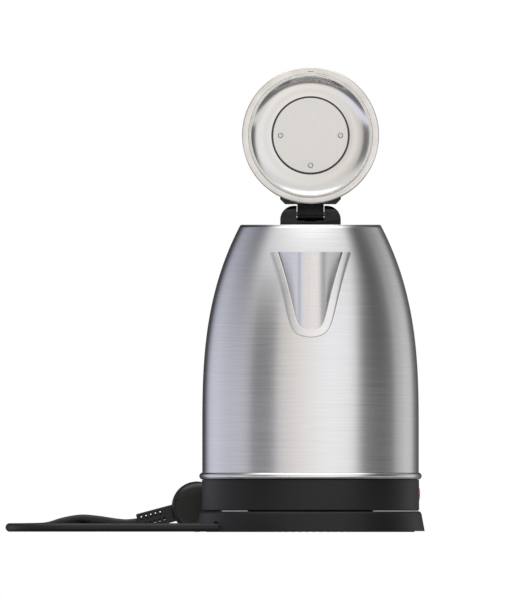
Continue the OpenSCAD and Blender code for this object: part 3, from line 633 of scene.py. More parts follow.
# %% Cutters, blocks and bars
def block(low, high, radius=0.0, steps=3):
    """Points and faces of a box whose edges are rounded by that radius."""
    shape = bmesh.new()
    bmesh.ops.create_cube(shape, size=1)
    for vert in shape.verts:
        vert.co = Vector([low[i] if vert.co[i] < 0 else high[i] for i in range(3)])
    if radius:
        bmesh.ops.bevel(shape, geom=list(shape.edges), offset=radius, segments=steps, profile=0.5,
                        affect="EDGES", clamp_overlap=True)
    shape.verts.ensure_lookup_table()
    points = [tuple(vert.co) for vert in shape.verts]
    faces = [[vert.index for vert in face.verts] for face in shape.faces]
    shape.free()
    return points, faces


def bar(start, end, radius, around=32, chamfer=0.0):
    """Points and faces of a round bar between two points."""
    start, end = Vector(start), Vector(end)
    length = (end - start).length
    outline = [(0, 0), (radius - chamfer, 0), (radius, chamfer), (radius, length - chamfer),
               (radius - chamfer, length), (0, length)]
    upright = turned_points(list(dict.fromkeys(outline)), around, closed=False)
    turn = Vector((0, 0, 1)).rotation_difference(end - start).to_matrix().to_4x4()
    return carried(upright, Matrix.Translation(start) @ turn)


def joined(*parts):
    """One list of points and faces from several."""
    points, faces = [], []
    for more_points, more_faces in parts:
        faces += [[index + len(points) for index in face] for face in more_faces]
        points += [tuple(p) for p in more_points]
    return points, faces


def cut(piece, parts, sharp=32, overlapping=False):
    """Cuts solids out of a piece and leaves a plain mesh."""
    material = piece.data.materials[0]
    cutter = new_piece("cutter", *parts, material)
    boolean = piece.modifiers.new("cut", "BOOLEAN")
    boolean.object, boolean.operation, boolean.solver = cutter, "DIFFERENCE", "EXACT"
    boolean.use_self = overlapping
    applied(piece)
    bpy.data.objects.remove(cutter)
    dressed(piece.data, material, sharp)


print("a rounded block has", len(block((0, 0, 0), (1, 1, 1), 0.2)[1]), "faces")

# %% [markdown]
# A surface that isn't turned, such as the spout, is a grid of points with a front and a back. Closing the two
# grids round their edges gives a sheet with a true thickness, which Solidify would do less exactly where the
# sheet is bent hard.

# %% Sheets from two grids
def sheet_between(front, back):
    """Points and faces of a closed sheet between two grids of points."""
    rows, columns = len(front), len(front[0])
    points = [p for row in front for p in row] + [p for row in back for p in row]
    count = rows * columns
    faces = []
    for i in range(rows - 1):
        for j in range(columns - 1):
            a = i * columns + j
            faces.append([a, a + columns, a + columns + 1, a + 1])
            faces.append([count + a, count + a + 1, count + a + columns + 1, count + a + columns])
    edge = [j for j in range(columns)] + [i * columns + columns - 1 for i in range(1, rows)]
    edge += [(rows - 1) * columns + j for j in range(columns - 2, -1, -1)]
    edge += [i * columns for i in range(rows - 2, 0, -1)]
    for a, b in zip(edge, edge[1:] + edge[:1]):
        faces.append([a, b, count + b, count + a])
    return points, faces


def steps_between(low, high, count):
    """Evenly spaced values from low to high."""
    return [low + (high - low) * i / count for i in range(count + 1)]


print("a 2 x 2 sheet has", len(sheet_between([[(0, 0, 0)] * 2] * 2, [[(0, 1, 0)] * 2] * 2)[1]), "faces")

# %% [markdown]
# ## Geometry Nodes
# Some pieces follow a rule, and the rest of them are one shape set out in a pattern. Geometry Nodes can hold
# both, with the sizes as named inputs, so that a change of size is a change of one number. Each tree's result
# is turned to a plain mesh at once, because what is exported must be real faces.

# %% Start a tree and run it
def start_tree(name, inputs):
    """A Geometry Nodes tree with named inputs, its input node, and where its result goes."""
    tree = bpy.data.node_groups.new(name, "GeometryNodeTree")
    tree.interface.new_socket("Geometry", in_out="OUTPUT", socket_type="NodeSocketGeometry")
    for label, kind, value in inputs:
        socket = tree.interface.new_socket(label, in_out="INPUT", socket_type="NodeSocket" + kind)
        socket.default_value = value
    return tree, add_node(tree, "NodeGroupInput").outputs


def along(tree, axis, value):
    """A vector along one axis, where 0, 1 and 2 are X, Y and Z."""
    return add_node(tree, "ShaderNodeCombineXYZ", {axis: value}).outputs[0]


def end_tree(tree, geometry, material):
    """Realises the instances, sets the material and hands the result on."""
    real = add_node(tree, "GeometryNodeRealizeInstances", {0: geometry})
    painted = add_node(tree, "GeometryNodeSetMaterial", {"Geometry": real.outputs[0], "Material": material})
    add_node(tree, "NodeGroupOutput", {0: painted.outputs[0]})


def run_tree(name, tree, values, material, sharp=32):
    """A plain mesh piece from a tree. values are set by the sockets' identifiers."""
    piece = linked(name, bpy.data.meshes.new(name))
    nodes = piece.modifiers.new("nodes", "NODES")
    nodes.node_group = tree
    for item in tree.interface.items_tree:
        if item.in_out == "INPUT" and item.name in values:
            nodes[item.identifier] = values[item.name]
    applied(piece)
    tidy_mesh(piece.data, material, sharp)
    return piece


print("trees are run once and kept as plain meshes")

# %% [markdown]
# ## Steel body
# The body is one drawn sheet: a straight wall that draws in to the rim by a power law. A lathe could turn it,
# but here the rule itself is in nodes: a flat grid is rolled up, and each row's radius comes from its height.
# Solidify then gives the sheet its 0.8 mm, inwards.

# %% The body's rule
def body_radius(height):
    """Outer radius of the steel body at a height."""
    if height < CURVE_Z:
        return BODY_R
    return BODY_R - (BODY_R - RIM_R) * ((height - CURVE_Z) / (RIM_Z - CURVE_Z)) ** CURVE_POWER


SHELL_TOP = RIM_Z - 0.6
body_tree, sizes = start_tree("drawn_body", [
    ("Low", "Float", 0.0372), ("Top", "Float", 0.2145), ("Rim height", "Float", 0.2151),
    ("Straight to", "Float", 0.07), ("Body radius", "Float", 0.0758), ("Rim radius", "Float", 0.049),
    ("Power", "Float", 2.85), ("Around", "Int", 257), ("Rows", "Int", 111),
])
flat = add_node(body_tree, "GeometryNodeMeshGrid", {"Size X": 1.0, "Size Y": 1.0, "Vertices X": sizes["Around"],
                                                   "Vertices Y": sizes["Rows"]})
spot = add_node(body_tree, "ShaderNodeSeparateXYZ", {0: add_node(body_tree, "GeometryNodeInputPosition").outputs[0]})
turn = arithmetic(body_tree, "MULTIPLY", spot.outputs[0], 2 * math.pi)
share = arithmetic(body_tree, "ADD", spot.outputs[1], 0.5)
rise = arithmetic(body_tree, "MULTIPLY", share, arithmetic(body_tree, "SUBTRACT", sizes["Top"], sizes["Low"]))
height = arithmetic(body_tree, "ADD", rise, sizes["Low"])
above = arithmetic(body_tree, "MAXIMUM", arithmetic(body_tree, "SUBTRACT", height, sizes["Straight to"]), 0.0)
span = arithmetic(body_tree, "SUBTRACT", sizes["Rim height"], sizes["Straight to"])
law = arithmetic(body_tree, "POWER", arithmetic(body_tree, "DIVIDE", above, span), sizes["Power"])
drawn_in = arithmetic(body_tree, "MULTIPLY", law,
                      arithmetic(body_tree, "SUBTRACT", sizes["Body radius"], sizes["Rim radius"]))
radius = arithmetic(body_tree, "SUBTRACT", sizes["Body radius"], drawn_in)
side = arithmetic(body_tree, "MULTIPLY", radius, arithmetic(body_tree, "SINE", turn))
depth = arithmetic(body_tree, "MULTIPLY", radius, arithmetic(body_tree, "COSINE", turn))
rolled_up = add_node(body_tree, "ShaderNodeCombineXYZ", {0: side, 1: arithmetic(body_tree, "MULTIPLY", depth, -1.0),
                                                         2: height})
wall = add_node(body_tree, "GeometryNodeSetPosition", {"Geometry": flat.outputs[0], "Position": rolled_up.outputs[0]})
sewn = add_node(body_tree, "GeometryNodeMergeByDistance", {"Geometry": wall.outputs[0], "Distance": 1e-5})
end_tree(body_tree, sewn.outputs[0], brushed_steel)
body = run_tree("steel_body", body_tree, {
    "Low": BODY_LOW * MM, "Top": SHELL_TOP * MM, "Rim height": RIM_Z * MM, "Straight to": CURVE_Z * MM,
    "Body radius": BODY_R * MM, "Rim radius": RIM_R * MM, "Power": CURVE_POWER, "Around": 257, "Rows": 111,
}, brushed_steel)
print("body wall has", len(body.data.polygons), "faces")

# %% Open the pouring window and give the wall its thickness
WINDOW = [(149.5, 0), (153, 7), (166, 12), (190, 17)]


def in_window(point):
    """Whether a point of the wall is in the window behind the spout."""
    x, z = abs(point.x) / MM, point.z / MM
    if point.y > 0 or not WINDOW[0][0] < z < WINDOW[-1][0]:
        return False
    for (low_z, low_half), (high_z, high_half) in zip(WINDOW, WINDOW[1:]):
        if low_z <= z <= high_z:
            return x < low_half + (high_half - low_half) * (z - low_z) / (high_z - low_z)


first = body.data.polygons[0]
if first.normal.dot(first.center * Vector((1, 1, 0))) < 0:
    body.data.flip_normals()
delete_from(body.data, lambda shape: [face for face in shape.faces if in_window(face.calc_center_median())], "FACES")
thick = body.modifiers.new("sheet", "SOLIDIFY")
thick.thickness, thick.offset, thick.use_even_offset = SHEET * MM, -1, True
applied(body)
put(body, "jug", "brushed_steel", "body_shell")

# %% [markdown]
# The rim is the same sheet turned in and down round the mouth. It is a narrow flat ring with a soft fold on
# each side, so a turned outline gives it, and the fold shows as a fine line at the top of the body.

# %% Rim
shoulder = body_radius(SHELL_TOP)
rim_shape = turned_points(filleted([
    (shoulder - 0.02, SHELL_TOP + 0.05, 0), (RIM_R - 0.5, RIM_Z, 0.5), (MOUTH_R, RIM_Z, 0.7), (MOUTH_R, RIM_Z - 4, 0.2),
    (MOUTH_R + SHEET, RIM_Z - 4, 0.2), (MOUTH_R + SHEET, RIM_Z - SHEET, 0.5), (shoulder - 1.2, RIM_Z - 1.4, 0),
]), around=256)
rim = new_piece("steel_rim", *rim_shape, pressed_steel)
put(rim, "jug", "brushed_steel")

# %% [markdown]
# ## Spout
# The spout is a second pressing, welded over the window: a beak whose front line leans out, with straight sides
# swept back from a soft nose, and a flat flange round it that lies on the body. A subdivided cage could be
# pulled to this shape, but the CAD gives the beak as a rule, and a grid of that rule meets the body exactly.

# %% Beak
BEAK_FOOT_Y, BEAK_FOOT_Z, BEAK_TOP, BEAK_LEAN = 72.2, 141.1, 196, 0.22
BEAK_HALF, BEAK_SLOPE, BEAK_BEND, BEAK_SOFT = 23.1, 2.31, 9.7, 3
FLANGE_W, FLANGE_T = 5.2, 0.7
COLUMNS = 120


def beak_side(x):
    """How far the beak's side has swept back at x."""
    out = abs(x) - BEAK_BEND
    return BEAK_SLOPE / 2 * (math.hypot(out, BEAK_SOFT) + out)


def beak_front(x, z):
    """The y of the beak's outside."""
    return -(BEAK_FOOT_Y + BEAK_LEAN * (z - BEAK_FOOT_Z)) + beak_side(x) - beak_side(0)


def body_front(x, z):
    """The y of the body's outside, in front."""
    return -math.sqrt(body_radius(z) ** 2 - x * x)


def beak_foot(x):
    """The height at which the beak leaves the body, found by halving."""
    low_z, high_z = BEAK_FOOT_Z - 3, BEAK_TOP + 3
    for _ in range(24):
        middle = (low_z + high_z) / 2
        if beak_front(x, middle) > body_front(x, middle):
            low_z = middle
        else:
            high_z = middle
    return (low_z + high_z) / 2


beak_xs = [BEAK_HALF * 0.995 * math.sin(math.pi / 2 * s) for s in steps_between(-1, 1, COLUMNS)]
feet = [min(beak_foot(x), BEAK_TOP - 0.3) for x in beak_xs]
front, back = [], []
for share in steps_between(0, 1, 30):
    row = []
    for x, foot in zip(beak_xs, feet):
        z = foot + (BEAK_TOP - foot) * share
        row.append((x, beak_front(x, z), z))
    front.append(row)
for row in front:
    back.append([(x, y + FLANGE_T * math.hypot(1, (beak_side(abs(x) + 0.1) - beak_side(abs(x))) / 0.1), z)
                 for x, y, z in row])
print("beak leaves the body at", round(min(feet), 1), "mm")

# %% Flange round the beak
edge_line = [Vector((x, z)) for x, z in zip(beak_xs, feet)]
edge_line = [edge_line[0] + (edge_line[0] - edge_line[3]).normalized() * 9] + edge_line
edge_line = edge_line + [edge_line[-1] + (edge_line[-1] - edge_line[-4]).normalized() * 9]


def offset_line(distance, top):
    """The edge line pushed out in the front view, cut off at the top and evenly spaced."""
    pushed = []
    for i, point in enumerate(edge_line):
        run = edge_line[min(i + 1, len(edge_line) - 1)] - edge_line[max(i - 1, 0)]
        pushed.append(point + distance * Vector((run.y, -run.x)).normalized())
    while pushed[1].y > top:
        pushed.pop(0)
    while pushed[-2].y > top:
        pushed.pop()
    for end, inner in ((0, 1), (-1, -2)):
        share = (top - pushed[inner].y) / (pushed[end].y - pushed[inner].y)
        pushed[end] = pushed[inner].lerp(pushed[end], share)
    lengths = [0]
    for a, b in zip(pushed, pushed[1:]):
        lengths.append(lengths[-1] + (b - a).length)
    spaced, index = [], 0
    for target in steps_between(0, lengths[-1], COLUMNS):
        while index < len(pushed) - 2 and lengths[index + 1] < target:
            index += 1
        share = (target - lengths[index]) / max(lengths[index + 1] - lengths[index], 1e-9)
        spaced.append(pushed[index].lerp(pushed[index + 1], min(share, 1)))
    return spaced


# Across the flange: how far out, and how proud it stands there
FLANGE_SECTION = [(-0.45, 0.80), (0.0, 0.92), (0.5, 0.90), (2.4, 0.72), (4.2, 0.54), (4.7, 0.46), (5.0, 0.32),
                  (5.15, 0.14), (5.2, 0.02)]
FLANGE_CORNER = 1.8
# The flange springs away from the body towards its top, all but its outer edge
LIFT, LIFT_FROM, LIFT_OVER, LIFT_FADE = 1.2, 141, 55, 0.7
flange_front, flange_back = [], []
for out, proud in FLANGE_SECTION:
    corner = max(0, out - FLANGE_W + FLANGE_CORNER)
    line = offset_line(out, BEAK_TOP - (FLANGE_CORNER - math.sqrt(max(0, FLANGE_CORNER**2 - corner**2))))
    lift = LIFT * min(1, (FLANGE_W - out) / LIFT_FADE)
    flange_front.append([(p.x, body_front(p.x, p.y) - proud - lift * max(0, (p.y - LIFT_FROM) / LIFT_OVER) ** 2, p.y)
                         for p in line])
    flange_back.append([(p.x, body_front(p.x, p.y) + 0.3, p.y) for p in line])
spout_shape = joined(sheet_between(front, back), sheet_between(flange_front, flange_back))
spout = new_piece("steel_spout", *spout_shape, pressed_steel, sharp=40)
put(spout, "jug", "brushed_steel", "spout")

# %% [markdown]
# ## Bead
# Round the foot of the body runs a bead rolled in the sheet. It stands 2 mm proud and catches one bright line.

# %% Bead
BEAD_RING_R, BEAD_R, BEAD_Z, BEAD_TURN = 75.4, 2.45, 39.2, 1.395
bead_arc = [(BEAD_RING_R + BEAD_R * math.cos(a), BEAD_Z + BEAD_R * math.sin(a))
            for a in steps_between(-BEAD_TURN, BEAD_TURN, 28)]
bead_shape = turned_points(bead_arc, around=256)
bead = new_piece("rolled_bead", *bead_shape, bright_steel)
put(bead, "jug", "polished_steel", "bead_ring")

# %% [markdown]
# ## Collar
# The collar is a black moulding that closes the foot of the jug and holds the heater's socket. It is turned
# from its own wall section, with the soft corners that a mould gives, and has a round hole for the pilot lens.

# %% Collar
collar_foot = COLLAR_LOW - 0.8
collar_shape = turned_points(filleted([
    (COLLAR_R, collar_foot, 1.2), (COLLAR_R - 0.1, COLLAR_HIGH, 0.6), (74.7, COLLAR_HIGH, 0.15), (74.7, 40.4, 0.2),
    (72.6, 40.4, 0.2), (72.6, 34.5, 0), (73.9, 34.5, 0.4), (73.9, 19.8, 0.4), (72.7, 19.8, 0), (72.7, 18.2, 0.3),
    (72, 18.2, 0.2), (72, collar_foot, 0.4),
]), around=256)
collar = new_piece("collar_moulding", *collar_shape, black_plastic)
LENS_Z = 26.6
cut(collar, bar((60, 0, LENS_Z), (90, 0, LENS_Z), 4.5, around=64))
put(collar, "jug", "black_plastic", "collar")

# %% [markdown]
# ## Pilot lens
# A red lens shows that the kettle is on. It is a shallow dome of clear red plastic, cut on its inside into
# rings that spread the lamp's light, so it is turned from a domed outline about the lamp's axis.

# %% Pilot lens
LENS_R, LENS_BALL, LENS_CENTRE = 4.4, 20, 56.7
dome = [(LENS_R * s, LENS_CENTRE + math.sqrt(LENS_BALL**2 - (LENS_R * s) ** 2)) for s in steps_between(1, 0, 12)]
lens_outline = [(0, 72.7), (1, 72.9), (1.4, 72.6), (2.2, 72.9), (2.6, 72.6), (3.4, 72.9), (3.8, 72.6), (LENS_R, 72.6)]
lens_shape = turned_points(lens_outline + dome, around=72, closed=False)
to_side = Matrix.Translation((0, 0, LENS_Z)) @ Matrix.Rotation(math.radians(90), 4, "Y")
lens = new_piece("red_lens", *carried(lens_shape, to_side), red_lens)
put(lens, "jug", "lens_red", "pilot_lens")

# %% [markdown]
# ## Power base
# The base is a shallow black moulding with a skirt that leans in and a soft top edge. A boss in its middle
# lifts the jug clear, and the skirt has a notch for the lead.

# %% Base housing
base_shape = turned_points(filleted([
    (BASE_R, 0.6, 0.3), (77.39, BASE_H, 2.6), (BOSS_R + 0.1, BASE_H, 0.5), (BOSS_R, BOSS_Z, 0.5), (16.8, BOSS_Z, 0.3),
    (16.8, BOSS_Z - 2.2, 0), (41.5, BOSS_Z - 2.2, 0), (41.5, BASE_H - 2.2, 0), (74.8, BASE_H - 2.2, 1.5),
    (77.7, 0.6, 0.1),
]), around=256)
base = new_piece("base_moulding", *base_shape, black_plastic)
notch_floor = block((-95, -46.4, -1), (-40, -39, 3.7))
cut(base, notch_floor)
cut(base, bar((-95, -42.7, 3.7), (-40, -42.7, 3.7), 3.7, around=48))
put(base, "base", "black_plastic", "base_housing")

# %% [markdown]
# ## Lid
# The lid stands open, so what shows is its underside: the edge of its cover, a silicone seal, and a pan dished
# towards the middle, with a round disc held by three screws. All of it is drawn shut, as a lid is on paper, and
# one matrix turns it up about the hinge. The dish is hollow, so its highlights lie on the side they come from.

# %% Where the lid stands
opened = (Matrix.Translation((0, HINGE_Y, HINGE_Z)) @ Matrix.Rotation(math.radians(-90), 4, "X")
          @ Matrix.Translation((0, -HINGE_Y, -HINGE_Z)))
DOME_H, LID_TOP = 5, LID_Z + 3.4
DISH_R, DISH_ARC, DISH_EDGE = 31.5, 16.5, 37.3
FLANGE_Z = LID_Z + SHEET + 0.1
PAN_Z = FLANGE_Z + DISH_ARC * (1 - math.cos(math.radians(DISH_EDGE)))
DISC_R = 26.3


def dome_height(radius):
    """Height of the domed cover above its edge."""
    return DOME_H * (1 - (radius / (LID_R - 1.2)) ** 2)


print("the open lid's middle is at", [round(v, 1) for v in opened @ Vector((0, 0, LID_Z))])

# %% Lid cover
edge_in = LID_R - 1.2
dome_top = [(edge_in * s, LID_TOP + dome_height(edge_in * s)) for s in steps_between(1, 0, 30)]
dome_under = [(edge_in * s, LID_TOP + dome_height(edge_in * s) - SHEET) for s in steps_between(0, 1, 30)]
rim_edge = filleted([(43.4, LID_Z + SHEET, 0.1), (43.4, LID_Z, 0.35), (LID_R, LID_Z, 0.9), (LID_R, LID_TOP - 0.6, 0.9),
                     (edge_in, LID_TOP, 0)])[:-1]
inner_edge = [(LID_R - SHEET, LID_TOP - 1.2), (LID_R - SHEET, LID_Z + SHEET)]
cover_shape = turned_points(rim_edge + dome_top + dome_under + inner_edge, around=256)
cover = new_piece("lid_cover_pressing", *carried(cover_shape, opened), lid_steel)
notch = [(-3.1, -42.9), (-1.9, -44.9), (1.9, -44.9), (3.1, -42.9)]
notch_points = [(x, y, LID_Z - 1) for x, y in notch] + [(x, y, LID_Z + 1.4) for x, y in notch]
notch_faces = [[0, 1, 2, 3], [4, 5, 6, 7]] + [[i, (i + 1) % 4, 4 + (i + 1) % 4, 4 + i] for i in range(4)]
cut(cover, carried((notch_points, notch_faces), opened))
put(cover, "lid", "brushed_steel", "lid_cover")

# %% Dished pan
def dish(depth):
    """The pan's dished wall, from its flange in to the flat, depth below its outside."""
    arc = []
    for share in steps_between(1, 0, 40):
        angle = math.radians(DISH_EDGE * share)
        reach = DISH_ARC - depth
        arc.append((DISH_R + reach * math.sin(angle), PAN_Z + depth - reach * (1 - math.cos(angle))))
    return arc


pan_outline = [(44.6, FLANGE_Z), (42.4, FLANGE_Z - 0.02)] + dish(0)
pan_outline += [(DISC_R + 1.3, PAN_Z), (DISC_R + 1.1, PAN_Z + 0.08), (DISC_R + 1.05, PAN_Z + 0.3),
                (DISC_R + 1.05, PAN_Z + 2.0), (DISC_R + 1.8, PAN_Z + 2.0), (DISC_R + 2.0, PAN_Z + 0.7)]
pan_outline += dish(0.7)[::-1] + [(42.4, FLANGE_Z + 0.68), (44.6, FLANGE_Z + 0.7)]
pan_shape = turned_points(pan_outline, around=256)
pan = new_piece("lid_dished_pan", *carried(pan_shape, opened), drawn_steel, sharp=28)
put(pan, "lid", "polished_steel", "lid_pan")

# %% Disc and seal
SCREW_RING, DISC_FACE = 21, PAN_Z - 0.5
under_dome = LID_TOP + dome_height(10) - SHEET - 0.05
disc_outline = [(0, DISC_FACE), (18, DISC_FACE), (24, DISC_FACE), (DISC_R - 0.6, DISC_FACE), (DISC_R - 0.4, DISC_FACE),
                (DISC_R - 0.12, PAN_Z - 0.36), (DISC_R, PAN_Z - 0.1), (DISC_R, PAN_Z + 2.0),
                (DISC_R - 0.7, PAN_Z + 2.0), (DISC_R - 0.7, PAN_Z + 0.7), (10, PAN_Z + 0.7), (10, under_dome),
                (0, under_dome)]
disc_shape = turned_points(disc_outline, around=192, closed=False)
disc = new_piece("lid_round_disc", *carried(disc_shape, opened), satin_steel, sharp=15)
for x, y in ((SCREW_RING, 0), (-SCREW_RING, 0), (0, SCREW_RING)):
    well_shape = bar((x, y, PAN_Z - 1.5), (x, y, PAN_Z + 0.1), 2.15)
    cut(disc, carried(well_shape, opened), sharp=15)
put(disc, "lid", "satin_steel", "lid_disc")

# A dark rubber ring fills the gap round the disc: painted shade, a dark thing put in the groove where its shadow falls
shade_ring_shape = turned_points(filleted([
    (DISC_R - 0.2, PAN_Z, 0.1), (DISC_R + 1.0, PAN_Z, 0.1), (DISC_R + 1.0, PAN_Z + 0.6, 0),
    (DISC_R - 0.2, PAN_Z + 0.6, 0)]), around=192)
shade_ring = new_piece("lid_disc_painted_shade_ring", *carried(shade_ring_shape, opened), foot_rubber)
put(shade_ring, "lid", "black_rubber")

seal_shape = turned_points(filleted([
    (42.05, LID_Z - 0.4, 0), (42.3, LID_Z - 0.8, 0.2), (43.0, LID_Z - 0.8, 0.2), (43.25, LID_Z - 0.4, 0),
    (43.25, FLANGE_Z - 0.02, 0), (42.05, FLANGE_Z - 0.02, 0),
]), around=256)
seal = new_piece("lid_seal_ring", *carried(seal_shape, opened), silicone)
put(seal, "lid", "white_silicone", "lid_seal")

# %% [markdown]
# ## Screws
# Screws come in rings: three in the lid's disc, three under the jug and three under the base. One tree sets out such a
# ring: it puts a tapered head on each point of a circle, and sinks a recess for the driver in its top. Here it gives
# the lid's disc its screws; those under the jug and the base are kept from the CAD. Its inputs are the ring's radius,
# the number of screws, the first one's angle, and the head's size.

# %% A ring of screws
screw_tree, sizes = start_tree("ring_of_screws", [
    ("Ring radius", "Float", 0.058), ("Count", "Int", 3), ("First angle", "Float", 0.0), ("Height", "Float", 0.0),
    ("Head radius", "Float", 0.0028), ("Head height", "Float", 0.0014), ("Recess", "Float", 0.6),
])
ring_of = add_node(screw_tree, "GeometryNodeMeshCircle", {"Vertices": sizes["Count"], "Radius": sizes["Ring radius"]})
turned_ring = add_node(screw_tree, "GeometryNodeTransform", {
    "Geometry": ring_of.outputs[0],
    "Translation": along(screw_tree, 2, sizes["Height"]),
    "Rotation": along(screw_tree, 2, sizes["First angle"]),
})
head = add_node(screw_tree, "GeometryNodeMeshCone", {
    "Vertices": 32, "Radius Top": arithmetic(screw_tree, "MULTIPLY", sizes["Head radius"], 0.78),
    "Radius Bottom": sizes["Head radius"], "Depth": sizes["Head height"],
}, fill_type="NGON")
facing_up = add_node(screw_tree, "ShaderNodeSeparateXYZ", {
    0: add_node(screw_tree, "GeometryNodeInputNormal").outputs[0]}).outputs[2]
on_top = add_node(screw_tree, "FunctionNodeCompare", {0: facing_up, 1: 0.9}, operation="GREATER_THAN")
doubled = add_node(screw_tree, "GeometryNodeExtrudeMesh", {
    "Mesh": head.outputs[0], "Selection": on_top.outputs[0], "Offset Scale": 0.0})
narrowed = add_node(screw_tree, "GeometryNodeScaleElements", {
    "Geometry": doubled.outputs[0], "Selection": doubled.outputs[1], "Scale": sizes["Recess"]})
sunk = add_node(screw_tree, "GeometryNodeExtrudeMesh", {
    "Mesh": narrowed.outputs[0], "Selection": doubled.outputs[1],
    "Offset Scale": arithmetic(screw_tree, "MULTIPLY", sizes["Head height"], -0.7)})
on_points = add_node(screw_tree, "GeometryNodeInstanceOnPoints", {"Points": turned_ring.outputs[0],
                                                                 "Instance": sunk.outputs[0]})
end_tree(screw_tree, on_points.outputs[0], nickel)
print("screw tree has", len(screw_tree.nodes), "nodes")


def ring_of_screws(name, values, place, material):
    """Screws whose heads point to +Z, then taken to their place."""
    piece = run_tree(name, screw_tree, values, material)
    piece.data.transform(place)
    return piece


# %% Screws in the lid's disc
in_metres = Matrix.Scale(MM, 4) @ opened @ Matrix.Scale(1 / MM, 4)
facing_down = Matrix.Translation((0, 0, DISC_FACE * MM)) @ Matrix.Rotation(math.pi, 4, "X")
lid_screws = ring_of_screws("lid_screws", {
    "Ring radius": SCREW_RING * MM, "Count": 4, "First angle": 0.0, "Height": 0.0,
    "Head radius": 1.75 * MM, "Head height": 0.7 * MM, "Recess": 0.6,
}, in_metres @ facing_down, nickel)
# The ring has four places and the disc three screws, so the topmost goes
topmost = (HINGE_Z + HINGE_Y + 10) * MM
delete_from(lid_screws.data, lambda shape: [vert for vert in shape.verts if vert.co.z > topmost], "VERTS")
put(lid_screws, "lid", "satin_steel", "lid_rivets")

# %% [markdown]
# ## Hinge, catch and other moulded parts
# The bracket, the lid's arm and the small moulded parts are already right in the CAD, but for their edges: a
# real moulding has a small radius on each. A copy of the CAD mesh is merged, its flat faces are made whole
# again, and a narrow bevel softens its edges.

# %% Soften a CAD part's edges
def softened(node, name, material, width, sharp=30):
    """A copy of a CAD node with its edges rounded by width in millimetres."""
    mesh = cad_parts[node].data.copy()
    mesh.name = name
    shape = bmesh.new()
    shape.from_mesh(mesh)
    bmesh.ops.remove_doubles(shape, verts=shape.verts, dist=2e-6)
    bmesh.ops.dissolve_limit(shape, angle_limit=math.radians(0.6), verts=shape.verts, edges=shape.edges)
    shape.to_mesh(mesh)
    shape.free()
    piece = linked(name, mesh)
    bevel = piece.modifiers.new("soft_edges", "BEVEL")
    bevel.width, bevel.segments, bevel.limit_method = width * MM, 2, "ANGLE"
    bevel.angle_limit, bevel.use_clamp_overlap = math.radians(36), True
    applied(piece)
    dressed(piece.data, material, sharp)
    return piece


for node, body_name, slot_name, material, width in (
    ("handle_bracket", "jug", "black_plastic", smooth_plastic, 0.5),
    ("lid_arm", "lid", "black_plastic", smooth_plastic, 0.5),
    ("lid_catch", "catch", "dark_plastic", smooth_plastic, 0.25),
    ("base_connector", "base", "dark_plastic", grey_plastic, 0.25),
    ("base_bottom_cover", "base", "black_plastic", black_plastic, 0.3),
    ("bottom_cover", "jug", "black_plastic", black_plastic, 0.3),
    ("socket_carrier", "jug", "dark_plastic", grey_plastic, 0.25),
):
    put(softened(node, node + "_moulding", material, width), body_name, slot_name, node)

# %% [markdown]
# ## Handle
# The handle is a hollow grip in two mouldings that meet at a parting line. Its hollow never shows, so the halves
# are drawn filled, with a core behind the parting line. Its side view is a chain of Bezier curves, and its section
# is a rounded rectangle, so it is a loft: one section after another along the path. A bevelled curve would do for
# a plain tube, but it can't give the two halves their own sections.

# %% The grip's path
def bezier_points(p, q, r, s, steps, skip=0):
    """Points on a cubic Bezier curve."""
    p, q, r, s = Vector(p), Vector(q), Vector(r), Vector(s)
    return [(1 - t) ** 3 * p + 3 * (1 - t) ** 2 * t * q + 3 * (1 - t) * t * t * r + t**3 * s
            for t in steps_between(0, 1, steps)[skip:]]


grip_line = bezier_points((64, 207), (84, 211), (114, 216), (117.5, 176), 30)
grip_line += bezier_points((117.5, 176), (120.5, 142), (118, 100), (101, 70), 26, 1)
grip_line += bezier_points((101, 70), (94, 57), (86, 47), (74, 38), 16, 1)
GRIP_W, GRIP_D, GRIP_SPLIT = 30, 21, -2


def loft(section, line):
    """Points and faces of a (x, out) section carried along a line in (y, z)."""
    points, faces = [], []
    count = len(section)
    for i, here in enumerate(line):
        run = (line[min(i + 1, len(line) - 1)] - line[max(i - 1, 0)]).normalized()
        outwards = Vector((-run.y, run.x))
        points += [(x, here.x + out * outwards.x, here.y + out * outwards.y) for x, out in section]
    for i in range(len(line) - 1):
        for k in range(count):
            a, b = i * count + k, i * count + (k + 1) % count
            faces.append([a, b, b + count, a + count])
    faces.append(list(range(count)))
    faces.append(list(range((len(line) - 1) * count, len(line) * count)))
    return points, faces


print("grip path has", len(grip_line), "points")

# %% The two halves of the grip
half_w, half_d = GRIP_W / 2, GRIP_D / 2
outer_section = filleted([(-half_w, GRIP_SPLIT + 0.25, 0.5), (half_w, GRIP_SPLIT + 0.25, 0.5), (half_w, half_d, 8),
                          (-half_w, half_d, 8)], steps=10)
inner_section = filleted([(-half_w, -half_d, 6.5), (half_w, -half_d, 6.5), (half_w, GRIP_SPLIT - 0.3, 0.5),
                          (-half_w, GRIP_SPLIT - 0.3, 0.5)], steps=10)
core_section = filleted([(-half_w + 1, -half_d + 2, 5), (half_w - 1, -half_d + 2, 5), (half_w - 1, half_d - 2, 6),
                         (-half_w + 1, half_d - 2, 6)], steps=6)
jug_space = turned_points([(0, 10), (COLLAR_R + 0.15, 10), (COLLAR_R + 0.15, 36.3), (78.0, 36.4), (78.0, 42.0),
                           (COLLAR_R + 0.15, 42.1), (COLLAR_R + 0.15, 80), (0, 80)], around=128, closed=False)
BUTTON_Y, BUTTON_LEN, BUTTON_W, BUTTON_LOW, BUTTON_TOP = 84, 15, 16, 214, 224.2
LEVER_Y, LEVER_Z, LEVER_TILT, LEVER_SWING = 92.5, 58, -31, 8
button_hole = block((-BUTTON_W / 2 - 0.3, BUTTON_Y - BUTTON_LEN / 2 - 0.3, 205),
                    (BUTTON_W / 2 + 0.3, BUTTON_Y + BUTTON_LEN / 2 + 0.3, 235))
lever_at = Matrix.Translation((0, LEVER_Y, LEVER_Z)) @ Matrix.Rotation(
    math.radians(LEVER_TILT + LEVER_SWING / 2), 4, "X")
